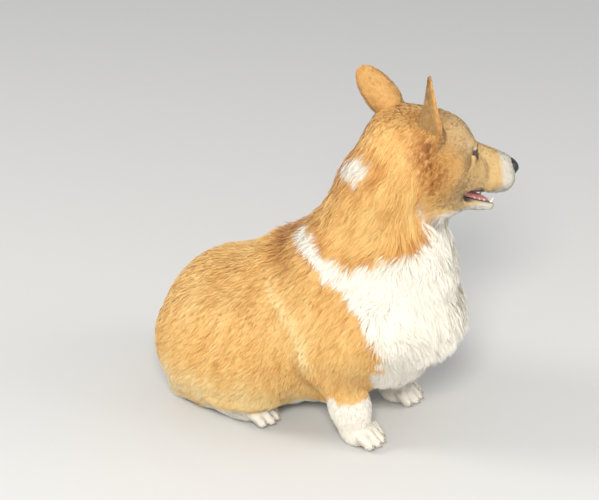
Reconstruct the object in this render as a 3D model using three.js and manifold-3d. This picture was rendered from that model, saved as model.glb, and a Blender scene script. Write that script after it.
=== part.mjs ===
// A seated Pembroke Welsh Corgi at life size, its head turned to its left, as a still model in named parts.
// Millimetres, +Z up. The dog faces -Y, its left is +X, and it rests on the floor at z = 0.
// The flesh is one smooth field of rounded forms. Each part is wrapped from it and parted from its
// neighbours by thin cuts, and the long hair of ruff, bib and breeches is added as flat tapered locks.
import * as THREE from "three";
import { ConvexGeometry } from "three/addons/geometries/ConvexGeometry.js";
import { mergeVertices } from "three/addons/utils/BufferGeometryUtils.js";
import Module from "manifold-3d";

const wasm = await Module();
wasm.setup();

// Driving dimensions
const gap = 0.3; // between parts that touch
const withersHeight = 250;
const chestWidth = 168;
const haunchWidth = 226;
const neckRadius = 64;
const skullLength = 130;
const skullWidth = 114;
const muzzleLength = 92;
const earLength = 61;
const earArc = 58; // round the cup, at its root
const earRoot = 16; // sunk in the head
const eyeRadius = 10.5;
const lidThickness = 2.2;
const pawWidth = 46;
const pawSpread = 108; // between the middles of the forepaws
const hindPawSpread = 134;
const headYaw = 60; // degrees to the dog's left
const headPitch = 20; // degrees nose down
const headRoll = 2; // degrees
const jawOpening = 5; // degrees

const coat = { colour: 0xd99a58, roughness: 0.9 };
const white = { colour: 0xf1ebe0, roughness: 0.9 };
const leather = { colour: 0x2a2422, roughness: 0.45 };
const mouthPink = { colour: 0xc9787a, roughness: 0.4 };
const eyeBrown = { colour: 0x2b1a10, roughness: 0.1 };

const originShift = [-9.5, -91, 0]; // from between the forepaws to the middle of the bounding box

const weld = 0.01; // vertices nearer than this are one
const lockThickness = 5;
const seed = 2614;

const degrees = THREE.MathUtils.degToRad;
const at = (x, y, z) => new THREE.Vector3(x, y, z);
const sides = [
  ["left", 1],
  ["right", -1],
];

// Forms: each is a function from a point to its rough distance outside the form.

// An egg-shaped form with three radii, turned by Euler angles in degrees.
function egg(centre, radii, turn = [0, 0, 0]) {
  const frame = new THREE.Matrix4()
    .makeRotationFromEuler(new THREE.Euler(...turn.map(degrees)))
    .setPosition(centre)
    .invert();
  const [rx, ry, rz] = radii;
  const q = new THREE.Vector3();
  return (p) => {
    q.copy(p).applyMatrix4(frame);
    const near = Math.hypot(q.x / rx, q.y / ry, q.z / rz);
    const slope = Math.hypot(q.x / (rx * rx), q.y / (ry * ry), q.z / (rz * rz));
    return slope < 1e-9 ? -Math.min(rx, ry, rz) : (near * (near - 1)) / slope;
  };
}

// A limb-shaped form: a rounded cone between two points, its radius changing along it.
function limb(from, fromRadius, to, toRadius) {
  const along = to.clone().sub(from);
  const square = along.lengthSq();
  const q = new THREE.Vector3();
  return (p) => {
    q.copy(p).sub(from);
    const share = THREE.MathUtils.clamp(q.dot(along) / square, 0, 1);
    return q.addScaledVector(along, -share).length() - fromRadius - share * (toRadius - fromRadius);
  };
}

// Joins form b to field a with a fillet of about the given size, or cuts it away.
function joined(a, b, fillet) {
  const share = Math.max(fillet - Math.abs(a - b), 0) / fillet;
  return Math.min(a, b) - (share * share * fillet) / 4;
}
const carved = (a, b, fillet) => -joined(-a, b, fillet);

// A field from a list of [form, fillet] pairs, joined one after another.
function fieldOf(forms) {
  return (p) => {
    let d = forms[0][0](p);
    for (let i = 1; i < forms.length; i++) d = joined(d, forms[i][0](p), forms[i][1]);
    return d;
  };
}

// The same form on both sides of the dog.
const mirrored = (make, fillet) => sides.map(([, s]) => [make(s), fillet]);

function gradient(field, p, step = 0.5) {
  const probe = new THREE.Vector3();
  const out = new THREE.Vector3();
  for (const axis of ["x", "y", "z"]) {
    probe.copy(p);
    probe[axis] += step;
    const ahead = field(probe);
    probe[axis] -= 2 * step;
    out[axis] = (ahead - field(probe)) / (2 * step);
  }
  return out;
}

// Moves a point onto the field's surface, or to a height over it.
function settle(field, p, height = 0, rounds = 3) {
  for (let i = 0; i < rounds; i++) {
    const slope = gradient(field, p);
    const square = Math.max(slope.lengthSq(), 0.05);
    p.addScaledVector(slope, (height - field(p)) / square);
  }
  return p;
}

// Two inner samples that meet only across a square's diagonal would pinch the surface to a line there.
// One of the square's outer samples becomes an inner one, which joins them.
function fillPinches(values, [dx, dy, dz], inner) {
  const passes = 4;
  const isInside = (n) => values[n] < 0;
  const fill = (m, n) => {
    values[values[m] < values[n] ? m : n] = inner;
  };
  for (let pass = 0; pass < passes; pass++)
    for (let o = 0; o + dx + dy + dz < values.length; o++)
      for (const [u, v] of [[dx, dy], [dy, dz], [dx, dz]]) {
        const [a, b, c, d] = [o, o + u, o + v, o + u + v];
        if (isInside(a) && isInside(d) && !isInside(b) && !isInside(c)) fill(b, c);
        if (isInside(b) && isInside(c) && !isInside(a) && !isInside(d)) fill(a, d);
      }
}

// Wraps a closed surface round the field inside a box, with one vertex in each cell that it crosses.
// With grow, the same surface stands off the field by that much.
function wrap(field, low, high, cell, grow = 0) {
  const size = high.clone().sub(low);
  const count = [size.x, size.y, size.z].map((s) => Math.ceil(s / cell) + 3);
  const origin = low.clone().addScalar(-cell);
  const [nx, ny, nz] = count;
  const index = (i, j, k) => i + nx * (j + ny * k);
  const values = new Float32Array(nx * ny * nz);
  const p = new THREE.Vector3();
  const place = (i, j, k) => p.set(i, j, k).multiplyScalar(cell).add(origin);
  for (let k = 0; k < nz; k++)
    for (let j = 0; j < ny; j++)
      for (let i = 0; i < nx; i++) {
        const rim = i === 0 || j === 0 || k === 0 || i === nx - 1 || j === ny - 1 || k === nz - 1;
        values[index(i, j, k)] = rim ? cell : field(place(i, j, k));
      }
  fillPinches(values, [1, nx, nx * ny], -0.1 * cell);
  const corners = [0, 1, 2, 3, 4, 5, 6, 7].map((c) => [c & 1, (c >> 1) & 1, c >> 2]);
  const edges = [];
  for (let a = 0; a < 8; a++) for (const bit of [1, 2, 4]) if (!(a & bit)) edges.push([a, a | bit]);
  const positions = [];
  const vertexOf = new Map();
  for (let k = 0; k < nz - 1; k++)
    for (let j = 0; j < ny - 1; j++)
      for (let i = 0; i < nx - 1; i++) {
        const v = corners.map(([a, b, c]) => values[index(i + a, j + b, k + c)]);
        if (v.every((x) => x < 0) || v.every((x) => x >= 0)) continue;
        const mean = new THREE.Vector3();
        let crossings = 0;
        for (const [a, b] of edges) {
          if (v[a] < 0 === v[b] < 0) continue;
          const share = v[a] / (v[a] - v[b]);
          for (const n of [0, 1, 2]) {
            const along = corners[a][n] + share * (corners[b][n] - corners[a][n]);
            mean.setComponent(n, mean.getComponent(n) + along);
          }
          crossings++;
        }
        mean.divideScalar(crossings).add(at(i, j, k)).multiplyScalar(cell).add(origin);
        const edgeCell = i < 1 || j < 1 || k < 1 || i > nx - 3 || j > ny - 3 || k > nz - 3;
        if (!edgeCell) {
          const settled = settle(field, mean.clone(), grow);
          const shift = settled.sub(mean).clampLength(0, cell * 0.45);
          mean.add(shift);
        }
        vertexOf.set(index(i, j, k), positions.length / 3);
        positions.push(mean.x, mean.y, mean.z);
      }
  const faces = [];
  const quad = (a, b, c, d, turned) => {
    const [p0, p1, p2, p3] = (turned ? [a, b, c, d] : [a, d, c, b]).map((n) => vertexOf.get(n));
    const far = (m, n) => Math.hypot(...[0, 1, 2].map((t) => positions[3 * m + t] - positions[3 * n + t]));
    if (far(p0, p2) < far(p1, p3)) faces.push(p0, p1, p2, p0, p2, p3);
    else faces.push(p1, p2, p3, p1, p3, p0);
  };
  const [dx, dy, dz] = [1, nx, nx * ny];
  for (let k = 0; k < nz - 1; k++)
    for (let j = 0; j < ny - 1; j++)
      for (let i = 0; i < nx - 1; i++) {
        const o = index(i, j, k);
        const here = values[o] < 0;
        if (j && k && here !== values[o + dx] < 0) quad(o, o - dy, o - dy - dz, o - dz, here);
        if (i && k && here !== values[o + dy] < 0) quad(o, o - dz, o - dx - dz, o - dx, here);
        if (i && j && here !== values[o + dz] < 0) quad(o, o - dx, o - dx - dy, o - dy, here);
      }
  const geometry = new THREE.BufferGeometry();
  geometry.setAttribute("position", new THREE.Float32BufferAttribute(positions, 3));
  geometry.setIndex(faces);
  return geometry;
}

// A closed geometry as a solid, its shared vertices merged.
function solid(geometry, matrix = new THREE.Matrix4()) {
  const bare = new THREE.BufferGeometry();
  const plain = geometry.index ? geometry.toNonIndexed() : geometry;
  bare.setAttribute("position", plain.getAttribute("position").clone());
  const merged = mergeVertices(bare.applyMatrix4(matrix), 1e-3);
  const mesh = new wasm.Mesh({
    numProp: 3,
    vertProperties: merged.attributes.position.array,
    triVerts: new Uint32Array(merged.index.array),
  });
  return new wasm.Manifold(mesh);
}

// A field's wrapped surface as a solid
const shell = (field, low, high, cell, frame, grow = 0) => solid(wrap(field, low, high, cell, grow), frame);

// The largest closed surface of a solid, so that loose scraps are dropped.
function largest(body) {
  return body.decompose().sort((a, b) => b.volume() - a.volume())[0];
}

// A solid's geometry, with vertices closer than the weld joined and the faces that this closes dropped
function geometryOf(body) {
  const mesh = body.getMesh();
  const bare = new THREE.BufferGeometry();
  bare.setAttribute("position", new THREE.BufferAttribute(mesh.vertProperties, mesh.numProp));
  bare.setIndex(new THREE.BufferAttribute(mesh.triVerts, 1));
  const geometry = mergeVertices(bare, weld);
  const faces = [];
  for (let i = 0; i < geometry.index.count; i += 3) {
    const [a, b, c] = [0, 1, 2].map((n) => geometry.index.getX(i + n));
    if (a !== b && b !== c && c !== a) faces.push(a, b, c);
  }
  geometry.setIndex(faces);
  geometry.computeVertexNormals();
  return geometry;
}

// A placed frame: a position and Euler angles in degrees, applied in the order Z, then X, then Y.
function frameAt(position, yaw = 0, pitch = 0, roll = 0) {
  const turn = new THREE.Euler(degrees(pitch), degrees(roll), degrees(yaw), "ZXY");
  return new THREE.Matrix4().makeRotationFromEuler(turn).setPosition(position);
}

// Cutting shapes, each made at its own size or grown by the gap.
const block = (size, frame) => (grow) =>
  solid(new THREE.BoxGeometry(size.x + 2 * grow, size.y + 2 * grow, size.z + 2 * grow), frame);
const drum = (radius, length, frame) => (grow) =>
  solid(new THREE.CylinderGeometry(radius + grow, radius + grow, length + 2 * grow, 32), frame);
const ball = (radius, frame) => (grow) => solid(new THREE.SphereGeometry(radius + grow, 12, 8), frame);
const both = (one, other) => (grow) => one(grow).add(other(grow));
const shared = (one, other) => (grow) => one(grow).intersect(other(grow));

// The torso, in the dog's own frame
const half = chestWidth / 2;
const torsoForms = [
  [egg(at(0, 8, 150), [half, 84, 88], [-12, 0, 0]), 0], // ribcage and forechest
  [limb(at(0, 40, 152), half, at(0, 178, 98), half + 4), 40], // barrel
  [egg(at(0, 190, 88), [half + 12, 94, 86]), 40], // rump
  [limb(at(0, 262, 72), 20, at(0, 282, 66), 15), 14], // docked tail
  [egg(at(0, -46, 148), [58, 46, 42]), 30], // bib
  [limb(at(0, 58, withersHeight - 62), 56, at(0, 118, withersHeight - 96), 60), 40], // withers
  [limb(at(0, 70, 76), 62, at(0, 190, 70), 66), 40], // belly
  ...mirrored((s) => egg(at(s * (haunchWidth / 2 - 46), 176, 82), [48, 96, 78], [-12, 0, s * 6]), 30),
  ...mirrored((s) => limb(at(s * 56, -24, 168), 40, at(s * 60, 40, 112), 35), 24), // shoulder to elbow
];

// Legs
const pawX = pawSpread / 2;
const pawY = 10;
const wristHeight = 44;
const forelegForms = [
  ...mirrored((s) => limb(at(s * 59, 34, 108), 31, at(s * pawX, pawY + 6, wristHeight), 23.5), 18),
  ...mirrored((s) => limb(at(s * pawX, pawY + 6, wristHeight), 22.5, at(s * pawX, pawY, 20), 20), 12),
];
const toeRadius = 7;
const toePlaces = [-1.5, -0.5, 0.5, 1.5]; // across the paw, in toe widths
const toeReach = (place, reach) => (Math.abs(place) < 1 ? reach : reach * 0.8);
function toes(centre, reach) {
  return toePlaces.flatMap((place) => {
    const length = toeReach(place, reach);
    const root = centre.clone().add(at(place * 7.5, 0, 6));
    const knuckle = centre.clone().add(at(place * 10, -length * 0.62, 4));
    const tip = centre.clone().add(at(place * 10.6, -length, -4));
    return [
      [limb(root, toeRadius, knuckle, toeRadius + 0.6), 3],
      [limb(knuckle, toeRadius + 0.6, tip, toeRadius - 0.6), 2.5],
    ];
  });
}
const forePawCentre = (s) => at(s * (pawX + 1), pawY - 4, 12);
const hindPawCentre = (s) => at(s * hindX, 146, 12);
const hindX = hindPawSpread / 2;
const forePawForms = sides.flatMap(([, s]) => [
  [egg(at(s * (pawX + 1), pawY - 6, 12), [pawWidth / 2 - 3, 22, 16]), 10],
  ...toes(forePawCentre(s), 28),
]);
const hockForms = mirrored((s) => limb(at(s * (hindX - 6), 236, 24), 22, at(s * hindX, 152, 17), 16), 12);
const hindPawField = (s) =>
  fieldOf([[egg(at(s * hindX, 150, 13), [20, 28, 17]), 0], ...toes(hindPawCentre(s), 34)]);

// The neck
const skullCentre = at(11, -35, 367);
const neckForms = [
  [limb(at(0, 32, 212), neckRadius + 8, at(6, -8, 310), neckRadius - 3), 36],
  [limb(at(6, -8, 310), neckRadius - 6, at(10, -22, 352), 50), 24],
  [limb(at(0, -22, 205), 66, at(6, -14, 294), 58), 30], // throat ruff
];

// The head, in its own frame: origin at the middle of the skull, facing -Y
const headFrame = frameAt(skullCentre, headYaw, headPitch, headRoll);
const headInverse = headFrame.clone().invert();
const wide = skullWidth / 2;
const stop = 12 - skullLength / 2; // y of the step from forehead to muzzle
const noseTip = stop - muzzleLength;
const lipHeight = -44; // z of the line where the closed lips meet
const mouthCorner = -60;
const skullForms = [
  [egg(at(0, 2, -4), [wide - 6, skullLength / 2, 43]), 0],
  [egg(at(0, -28, 12), [34, 32, 26]), 16], // forehead
  ...mirrored((s) => egg(at(s * 36, 2, -26), [22, 42, 31]), 18), // cheeks
  ...mirrored((s) => egg(at(s * 23, stop + 8, 10), [13, 12, 10]), 10), // brows
  ...mirrored((s) => egg(at(s * 35, 22, 18), [20, 16, 18]), 14), // ear roots
  [limb(at(0, 20, -36), 46, at(0, -18, -40), 31), 20], // throat
];
const muzzleForms = [
  [limb(at(0, stop + 10, -17), 31, at(0, noseTip + 25, -20), 21), 16],
  [limb(at(0, stop + 2, -4), 18, at(0, noseTip + 14, -11), 12), 12], // bridge
  ...mirrored((s) => limb(at(s * 18, stop - 4, -32), 18, at(s * 10, noseTip + 20, -29), 15), 10), // flews
  ...mirrored((s) => limb(at(s * 36, -22, -18), 17, at(s * 20, stop - 16, -20), 14), 14), // cheekbones
];
const jawHinge = at(0, -2, -36);
const jawForms = [
  [limb(at(0, -12, -55), 20, at(0, -70, -53), 15), 10],
  [limb(at(0, -70, -53), 15, at(0, noseTip + 19, -50), 11), 8],
  ...mirrored((s) => limb(at(s * 22, -16, -50), 14, at(s * 9, noseTip + 24, -49), 8.5), 8),
];
const jawDrop = new THREE.Matrix4()
  .makeTranslation(jawHinge)
  .multiply(new THREE.Matrix4().makeRotationX(degrees(jawOpening)))
  .multiply(new THREE.Matrix4().makeTranslation(jawHinge.clone().negate()));

// A field moved by a frame.
function moved(field, frame) {
  const inverse = frame.clone().invert();
  const q = new THREE.Vector3();
  return (p) => field(q.copy(p).applyMatrix4(inverse));
}
const skullField = fieldOf([...skullForms, ...muzzleForms]);
const jawField = moved(fieldOf(jawForms), jawDrop);
const bareHead = (p) => joined(skullField(p), jawField(p), 8);

// The eyes sit a lid's thickness under the skin, found by walking in along each eye's axis.
const eyeAxis = (s) => at(s * Math.sin(degrees(32)), -Math.cos(degrees(32)), 0.12).normalize();
function eyeCentre(s) {
  const p = at(s * 27, stop - 6, 4);
  const axis = eyeAxis(s);
  p.addScaledVector(axis, 20);
  for (let i = 0; i < 40; i++) p.addScaledVector(axis, -Math.max(bareHead(p), 0.02));
  return p.addScaledVector(axis, -eyeRadius + 2);
}
const eyes = Object.fromEntries(sides.map(([, s]) => [s, eyeCentre(s)]));
const lidForms = mirrored((s) => {
  const radius = eyeRadius + lidThickness;
  return egg(eyes[s], [radius, radius, radius]);
}, 5);
const headField = (p) => lidForms.reduce((d, [form, fillet]) => joined(d, form(p), fillet), bareHead(p));

// The whole flesh field, with the head's forms carried into the dog's frame
const bodyField = fieldOf([...torsoForms, ...neckForms]);
const legField = fieldOf([...forelegForms, ...hockForms]);
const pawField = fieldOf(forePawForms);
const headInDog = moved(headField, headFrame);
const pawTop = 80; // no paw reaches so high
function flesh(p) {
  const body = joined(joined(bodyField(p), legField(p), 10), headInDog(p), 20);
  return p.z > pawTop ? body : joined(body, pawField(p), 5);
}
const fleshInHead = moved(flesh, headInverse);

// Locks of long hair

// Random numbers from -1 to 1, the same ones each time
function seeded(start) {
  let state = start;
  return () => {
    state = (state * 16807) % 2147483647;
    return (2 * state) / 2147483647 - 1;
  };
}
const random = seeded(seed);

// A flat, tapered lock. Its rings are diamonds on a line that starts under the surface at the root,
// bends with the body along the lie of the coat, and ends in a point that stands a little off it.
function lock(field, root, lie, length, width, lift) {
  const rings = [
    { share: 0, height: -7, width: 0.8 },
    { share: 0.28, height: lift * 0.3, width: 1 },
    { share: 0.66, height: lift * 0.75, width: 0.78 },
    { share: 1, height: lift, width: 0 },
  ];
  const middle = settle(field, root.clone());
  const sweep = 0.35 * random();
  const positions = [];
  let done = 0;
  for (const ring of rings) {
    const normal = gradient(field, middle).normalize();
    const along = lie.clone().addScaledVector(normal, -lie.dot(normal)).normalize();
    const across = normal.clone().cross(along);
    along.addScaledVector(across, sweep).normalize();
    middle.addScaledVector(along, (ring.share - done) * length);
    settle(field, middle, ring.height);
    done = ring.share;
    const edge = across.multiplyScalar((ring.width * width) / 2);
    const face = normal.multiplyScalar((lockThickness * (1 - 0.5 * ring.share)) / 2);
    const corners = ring.width ? [edge, face, edge.clone().negate(), face.clone().negate()] : [at(0, 0, 0)];
    for (const corner of corners) positions.push(...corner.add(middle).toArray());
  }
  const faces = [0, 2, 1, 0, 3, 2];
  const tip = 12;
  for (let n = 0; n < 4; n++) {
    const next = (n + 1) % 4;
    for (const ring of [0, 4]) {
      faces.push(ring + n, ring + next, ring + next + 4, ring + n, ring + next + 4, ring + n + 4);
    }
    faces.push(8 + n, 8 + next, tip);
  }
  const geometry = new THREE.BufferGeometry();
  geometry.setAttribute("position", new THREE.Float32BufferAttribute(positions, 3));
  geometry.setIndex(faces);
  return solid(geometry);
}

// A row of locks: count of them spread from one point to another on the surface, each a little different
function lockRow(field, from, to, count, lieAt, { length, width, lift }) {
  return Array.from({ length: count }, (_, n) => {
    const root = from.clone().lerp(to, (n + 0.5 + 0.25 * random()) / count);
    settle(field, root);
    const varied = (size, share) => size * (1 + share * random());
    return lock(field, root, lieAt(root), varied(length, 0.18), varied(width, 0.15), varied(lift, 0.3));
  });
}

// A row of locks round an upright axis, between two angles in degrees from the dog's front to its left
function lockRing(field, centre, radius, [from, to], count, lieAt, size) {
  const onRing = (angle) => {
    const a = degrees(angle);
    return at(Math.sin(a), -Math.cos(a), 0).multiplyScalar(radius).add(centre);
  };
  const step = (to - from) / count;
  return Array.from({ length: count }, (_, n) =>
    lockRow(field, onRing(from + n * step), onRing(from + (n + 1) * step), 1, lieAt, size),
  ).flat();
}

const united = (body, pieces) => pieces.reduce((all, piece) => all.add(piece), body);

// Where the parts divide
const inHeadFrame = (frame) => headFrame.clone().multiply(frame);
const over = (frame) => block(at(600, 900, 600), frame.clone().multiply(frameAt(at(0, 0, 300))));
const above = over(frameAt(at(0, 0, 0)));
const headCut = shared(
  over(inHeadFrame(frameAt(at(0, 20, -42), 0, 47))),
  over(inHeadFrame(frameAt(at(0, 0, -78)))),
);
const muzzleCut = block(at(120, 120, 140), inHeadFrame(frameAt(at(0, stop - 12 - 60, -20))));
const neckCut = over(frameAt(at(0, 0, 262), 0, 4));
const tailCut = ball(28, frameAt(at(0, 298, 64)));
const mouthCut = block(at(120, 120, 60), inHeadFrame(frameAt(at(0, mouthCorner - 60, lipHeight - 30))));
const jawCut = block(
  at(130, 140, 60),
  inHeadFrame(jawDrop.clone().multiply(frameAt(at(0, -36 - 70, lipHeight - 30)))),
);
const foreCut = (s) =>
  both(
    drum(60, 150, frameAt(at(s * 119, 10, 140), 90)),
    block(at(70, 104, 116), frameAt(at(s * (pawX + 4), pawY + 5, 50))),
  );
const pawCut = (s) => block(at(90, 120, 60), frameAt(at(s * pawX, pawY - 10, 0)));
const hindCut = (s) => drum(90, 160, frameAt(at(s * 140, 180, 84), 90));

// Parts
const dog = new THREE.Group();
function part(name, body, finish) {
  const kept = largest(body);
  const material = new THREE.MeshStandardMaterial({ color: finish.colour, roughness: finish.roughness });
  const mesh = new THREE.Mesh(geometryOf(kept), material);
  mesh.name = name;
  dog.add(mesh);
}

function without(body, cuts, grow = gap) {
  return cuts.reduce((rest, cut) => rest.subtract(cut(grow)), body);
}

// A small point, such as a claw or a tooth: a cone from its root towards its tip
function point(root, way, radius, length, sides = 6) {
  const turn = new THREE.Quaternion().setFromUnitVectors(at(0, 1, 0), way.clone().normalize());
  const frame = new THREE.Matrix4().compose(root, turn, at(1, 1, 1));
  return solid(new THREE.ConeGeometry(radius, length, sides).translate(0, length / 2, 0), frame);
}

function withClaws(paw, centre, reach) {
  return toePlaces.reduce((body, place) => {
    const root = centre.clone().add(at(place * 10.6, 1 - toeReach(place, reach), -1));
    return body.add(point(root, at(0, -1, -0.42), 2.8, 12));
  }, paw);
}

// What the head carries: each shape is made at its own size, or grown by the gap to cut its seat.
const eyeBall = (s) => ball(eyeRadius, inHeadFrame(frameAt(eyes[s])));

// An almond opening through the lids, along the eye's axis
function lidOpening(s) {
  const [width, height] = [8.5, 4.6];
  const almond = new THREE.Shape();
  almond.moveTo(-width, 0);
  almond.quadraticCurveTo(0, height * 2.1, width, 0.6);
  almond.quadraticCurveTo(0, -height * 1.7, -width, 0);
  const prism = new THREE.ExtrudeGeometry(almond, { depth: 40, bevelEnabled: false, curveSegments: 5 });
  const frame = new THREE.Matrix4().lookAt(eyeAxis(s), at(0, 0, 0), at(0, 0, 1)).setPosition(eyes[s]);
  return () => solid(prism, inHeadFrame(frame));
}

// Nose leather with its nostrils
const noseField = fieldOf([
  [egg(at(0, noseTip + 7, -9), [13.5, 12, 10.5]), 0],
  ...mirrored((s) => egg(at(s * 7.5, noseTip + 6, -11), [8, 10.5, 8.5]), 4),
]);
const [noseLow, noseHigh] = [at(-24, noseTip - 18, -36), at(24, noseTip + 26, 6)];
const noseSeat = (grow) => shell(noseField, noseLow, noseHigh, 5.2, headFrame, grow);
const hollow = (centre, radii, frame) => () =>
  solid(new THREE.SphereGeometry(1, 10, 6), frame.clone().multiply(frameAt(centre).scale(radii)));
const nostrils = sides.flatMap(([, s]) => [
  hollow(at(s * 5.6, noseTip - 3, -10), at(3.2, 6, 3.2), headFrame),
  hollow(at(s * 11, noseTip + 1, -13.5), at(6, 6, 1.7), headFrame),
]);

// The tongue lies in the lower jaw.
const jawFrame = inHeadFrame(jawDrop);
const tongueField = fieldOf([
  [egg(at(0, -86, lipHeight), [10.5, 36, 5]), 0],
  [egg(at(0, -70, lipHeight + 2), [10, 18, 5]), 4],
]);
const tongueBody = (grow) =>
  shell(tongueField, at(-18, -130, lipHeight - 10), at(18, -42, lipHeight + 12), 5.4, jawFrame, grow);

// Hollows of the palate, the lifted upper lip and the jaw
const palate = hollow(at(0, -92, lipHeight), at(14, 40, 10), headFrame);
const lipArch = hollow(at(0, mouthCorner - 26, lipHeight - 2), at(70, 27, 8), headFrame);
const jawHollow = hollow(at(0, -88, lipHeight + 2), at(12, 42, 9), jawFrame);

// Canines above and below, and the small front teeth of the jaw
const upperTeeth = sides.map(([, s]) =>
  point(at(s * 11, noseTip + 20, lipHeight + 4), at(0, 0, -1), 2.6, 12),
);
const lowerTeeth = [
  ...sides.map(([, s]) => point(at(s * 10, noseTip + 22, lipHeight - 5), at(s * 0.15, 0, 1), 2.6, 13)),
  ...[-2, -1, 0, 1, 2].map((n) => point(at(n * 3, noseTip + 14.5, lipHeight - 4), at(0, -0.1, 1), 1.9, 8, 5)),
];
const withTeeth = (body, teeth, frame) =>
  teeth.reduce((all, tooth) => all.add(tooth.transform(frame.elements)), body);

// Ears: thin cups, bent from a flat box that is longer than the ear by its sunk root
function ear(grow) {
  const geometry = new THREE.BoxGeometry(2, 1, 1, 6, 8, 1);
  const position = geometry.getAttribute("position");
  for (let i = 0; i < position.count; i++) {
    const v = position.getX(i);
    const u = position.getY(i) + 0.5;
    const face = position.getZ(i);
    const outline = 0.1 + 0.9 * Math.sqrt(Math.max(0, 1 - Math.pow(u, 2.4))) * (1 - 0.3 * u);
    const bend = degrees(105 - 72 * u);
    const radius = ((earArc / 2) * outline) / bend;
    const angle = (bend + grow / radius) * v;
    const thickness = (5 - 2 * u) * (1 - 0.45 * v * v) + 2 * grow;
    const r = radius + face * thickness;
    const height = u * (earLength + earRoot + 2 * grow) - grow - earRoot;
    const low = Math.min(1, Math.max(0, (0.8 - u) / 0.65));
    const swell = 9 * Math.pow(low * low * (3 - 2 * low), 1.3); // the cup is deep near its root
    const flare = (swell * (Math.cos(angle) - Math.cos(bend))) / (1 - Math.cos(bend));
    position.setXYZ(i, -Math.sin(angle) * r, Math.cos(angle) * r - radius * 0.6 + flare, height);
  }
  return geometry;
}

// An ear's frame from its root, the way it points and the way its cup faces
function earFrame(root, axis, facing) {
  const z = axis.clone().normalize();
  const x = facing.clone().negate().cross(z).normalize();
  return new THREE.Matrix4().makeBasis(x, z.clone().cross(x), z).setPosition(root);
}
const earPlaces = {
  left: earFrame(at(40, 25, 30), at(0.165, 0.81, 0.56), at(0.745, -0.636, -0.2)),
  right: earFrame(at(-35, 19.5, 24.5), at(-0.04, 0.36, 0.93), at(-0.486, -0.872, -0.06)),
};
const earBody = (side) => (grow) => solid(ear(grow), inHeadFrame(earPlaces[side]));

// The head, with locks behind its cheeks
const headShell = shell(fleshInHead, at(-78, stop - 30, -96), at(78, 84, 62), 9.6, headFrame);
const cheekLie = (s) => at(s * 0.1, 0.45, -0.9).transformDirection(headFrame);
const cheekSize = { length: 38, width: 19, lift: 8 };
const cheekPoint = (s, x, y, z) => at(s * x, y, z).applyMatrix4(headFrame);
const cheekLocks = sides.flatMap(([, s]) => [
  ...lockRow(flesh, cheekPoint(s, 56, 8, 0), cheekPoint(s, 42, 42, 0), 2, () => cheekLie(s), cheekSize),
  ...lockRow(flesh, cheekPoint(s, 54, -8, -26), cheekPoint(s, 46, 38, -28), 3, () => cheekLie(s), cheekSize),
]);
const headBody = united(headShell, cheekLocks);
const mouthOpening = () => mouthCut(0);
const headSeats = [
  muzzleCut,
  jawCut,
  tongueBody,
  lipArch,
  mouthOpening,
  ...sides.flatMap(([side, s]) => [eyeBall(s), lidOpening(s), earBody(side)]),
];
part("head", without(headBody.intersect(headCut(0)), headSeats), coat);
const muzzleShell = shell(fleshInHead, at(-48, noseTip - 10, -84), at(48, stop - 2, 24), 7.6, headFrame);
const muzzleSeats = [jawCut, noseSeat, tongueBody, palate, lipArch, mouthOpening];
const muzzleBody = without(muzzleShell.intersect(muzzleCut(0)), muzzleSeats);
part("muzzle", withTeeth(muzzleBody, upperTeeth, headFrame), coat);
const jawShell = shell(fleshInHead, at(-60, noseTip - 2, -100), at(60, 4, -26), 7.6, headFrame);
const jawSolid = jawShell.intersect(jawCut(0)).intersect(headCut(0));
part("lower_jaw", withTeeth(without(jawSolid, [jawHollow, tongueBody]), lowerTeeth, jawFrame), coat);
part("nose", without(noseSeat(0), nostrils), leather);
part("tongue", tongueBody(0), mouthPink);
for (const [side, s] of sides) {
  part(`eye_${side}`, eyeBall(s)(0), eyeBrown);
  part(`ear_${side}`, earBody(side)(0), coat);
}

// The neck, with its ruff
const neckSolid = shell(flesh, at(-110, -130, 220), at(120, 130, 440), 15);
const ruffLie = (p) => at(p.x / neckRadius, 0.5 + p.y / 200, -1).normalize();
const ruffSize = { length: 54, width: 27, lift: 12 };
const ruffLocks = [
  ...lockRing(flesh, at(6, -12, 334), 70, [120, 285], 7, ruffLie, ruffSize),
  ...lockRing(flesh, at(5, -2, 306), 80, [80, 310], 9, ruffLie, ruffSize),
];
part("neck", without(united(neckSolid, ruffLocks).intersect(neckCut(0)), [headCut]), coat);

// The torso, with its mane, bib and breeches
const bibLie = (p) => at(-p.x / 260, 0.1, -1).normalize();
const backLie = () => at(0, 1, -0.4);
const breechLie = (p) => at(p.x / 200, 0.2, -1).normalize();
const bibSize = { length: 56, width: 27, lift: 12 };
const breechSize = { length: 46, width: 23, lift: 10 };
const torsoLocks = [
  ...lockRing(flesh, at(0, 6, 256), 88, [-66, 66], 6, bibLie, bibSize),
  ...lockRing(flesh, at(0, 6, 252), 88, [112, 248], 5, ruffLie, ruffSize),
  ...lockRing(flesh, at(0, 6, 222), 96, [-60, 60], 5, bibLie, bibSize),
  ...lockRing(flesh, at(0, 6, 188), 100, [-54, 54], 5, bibLie, bibSize),
  ...lockRing(flesh, at(0, 6, 154), 104, [-44, 44], 5, bibLie, bibSize),
  ...lockRing(flesh, at(0, 6, 122), 104, [-28, 28], 3, bibLie, bibSize),
  ...lockRow(flesh, at(-50, 84, 200), at(50, 84, 200), 5, backLie, { ...ruffSize, lift: 8 }),
  ...sides.flatMap(([, s]) => [
    ...lockRow(flesh, at(s * 24, 270, 108), at(s * 62, 262, 104), 2, breechLie, breechSize),
    ...lockRow(flesh, at(s * 26, 282, 66), at(s * 64, 274, 62), 2, breechLie, breechSize),
  ]),
];

function hindPaw(s) {
  const [low, high] = s > 0 ? [at(20, 90, -14), at(130, 200, 60)] : [at(-130, 90, -14), at(-20, 200, 60)];
  return shell(hindPawField(s), low, high, 7).intersect(above(0));
}
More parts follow.
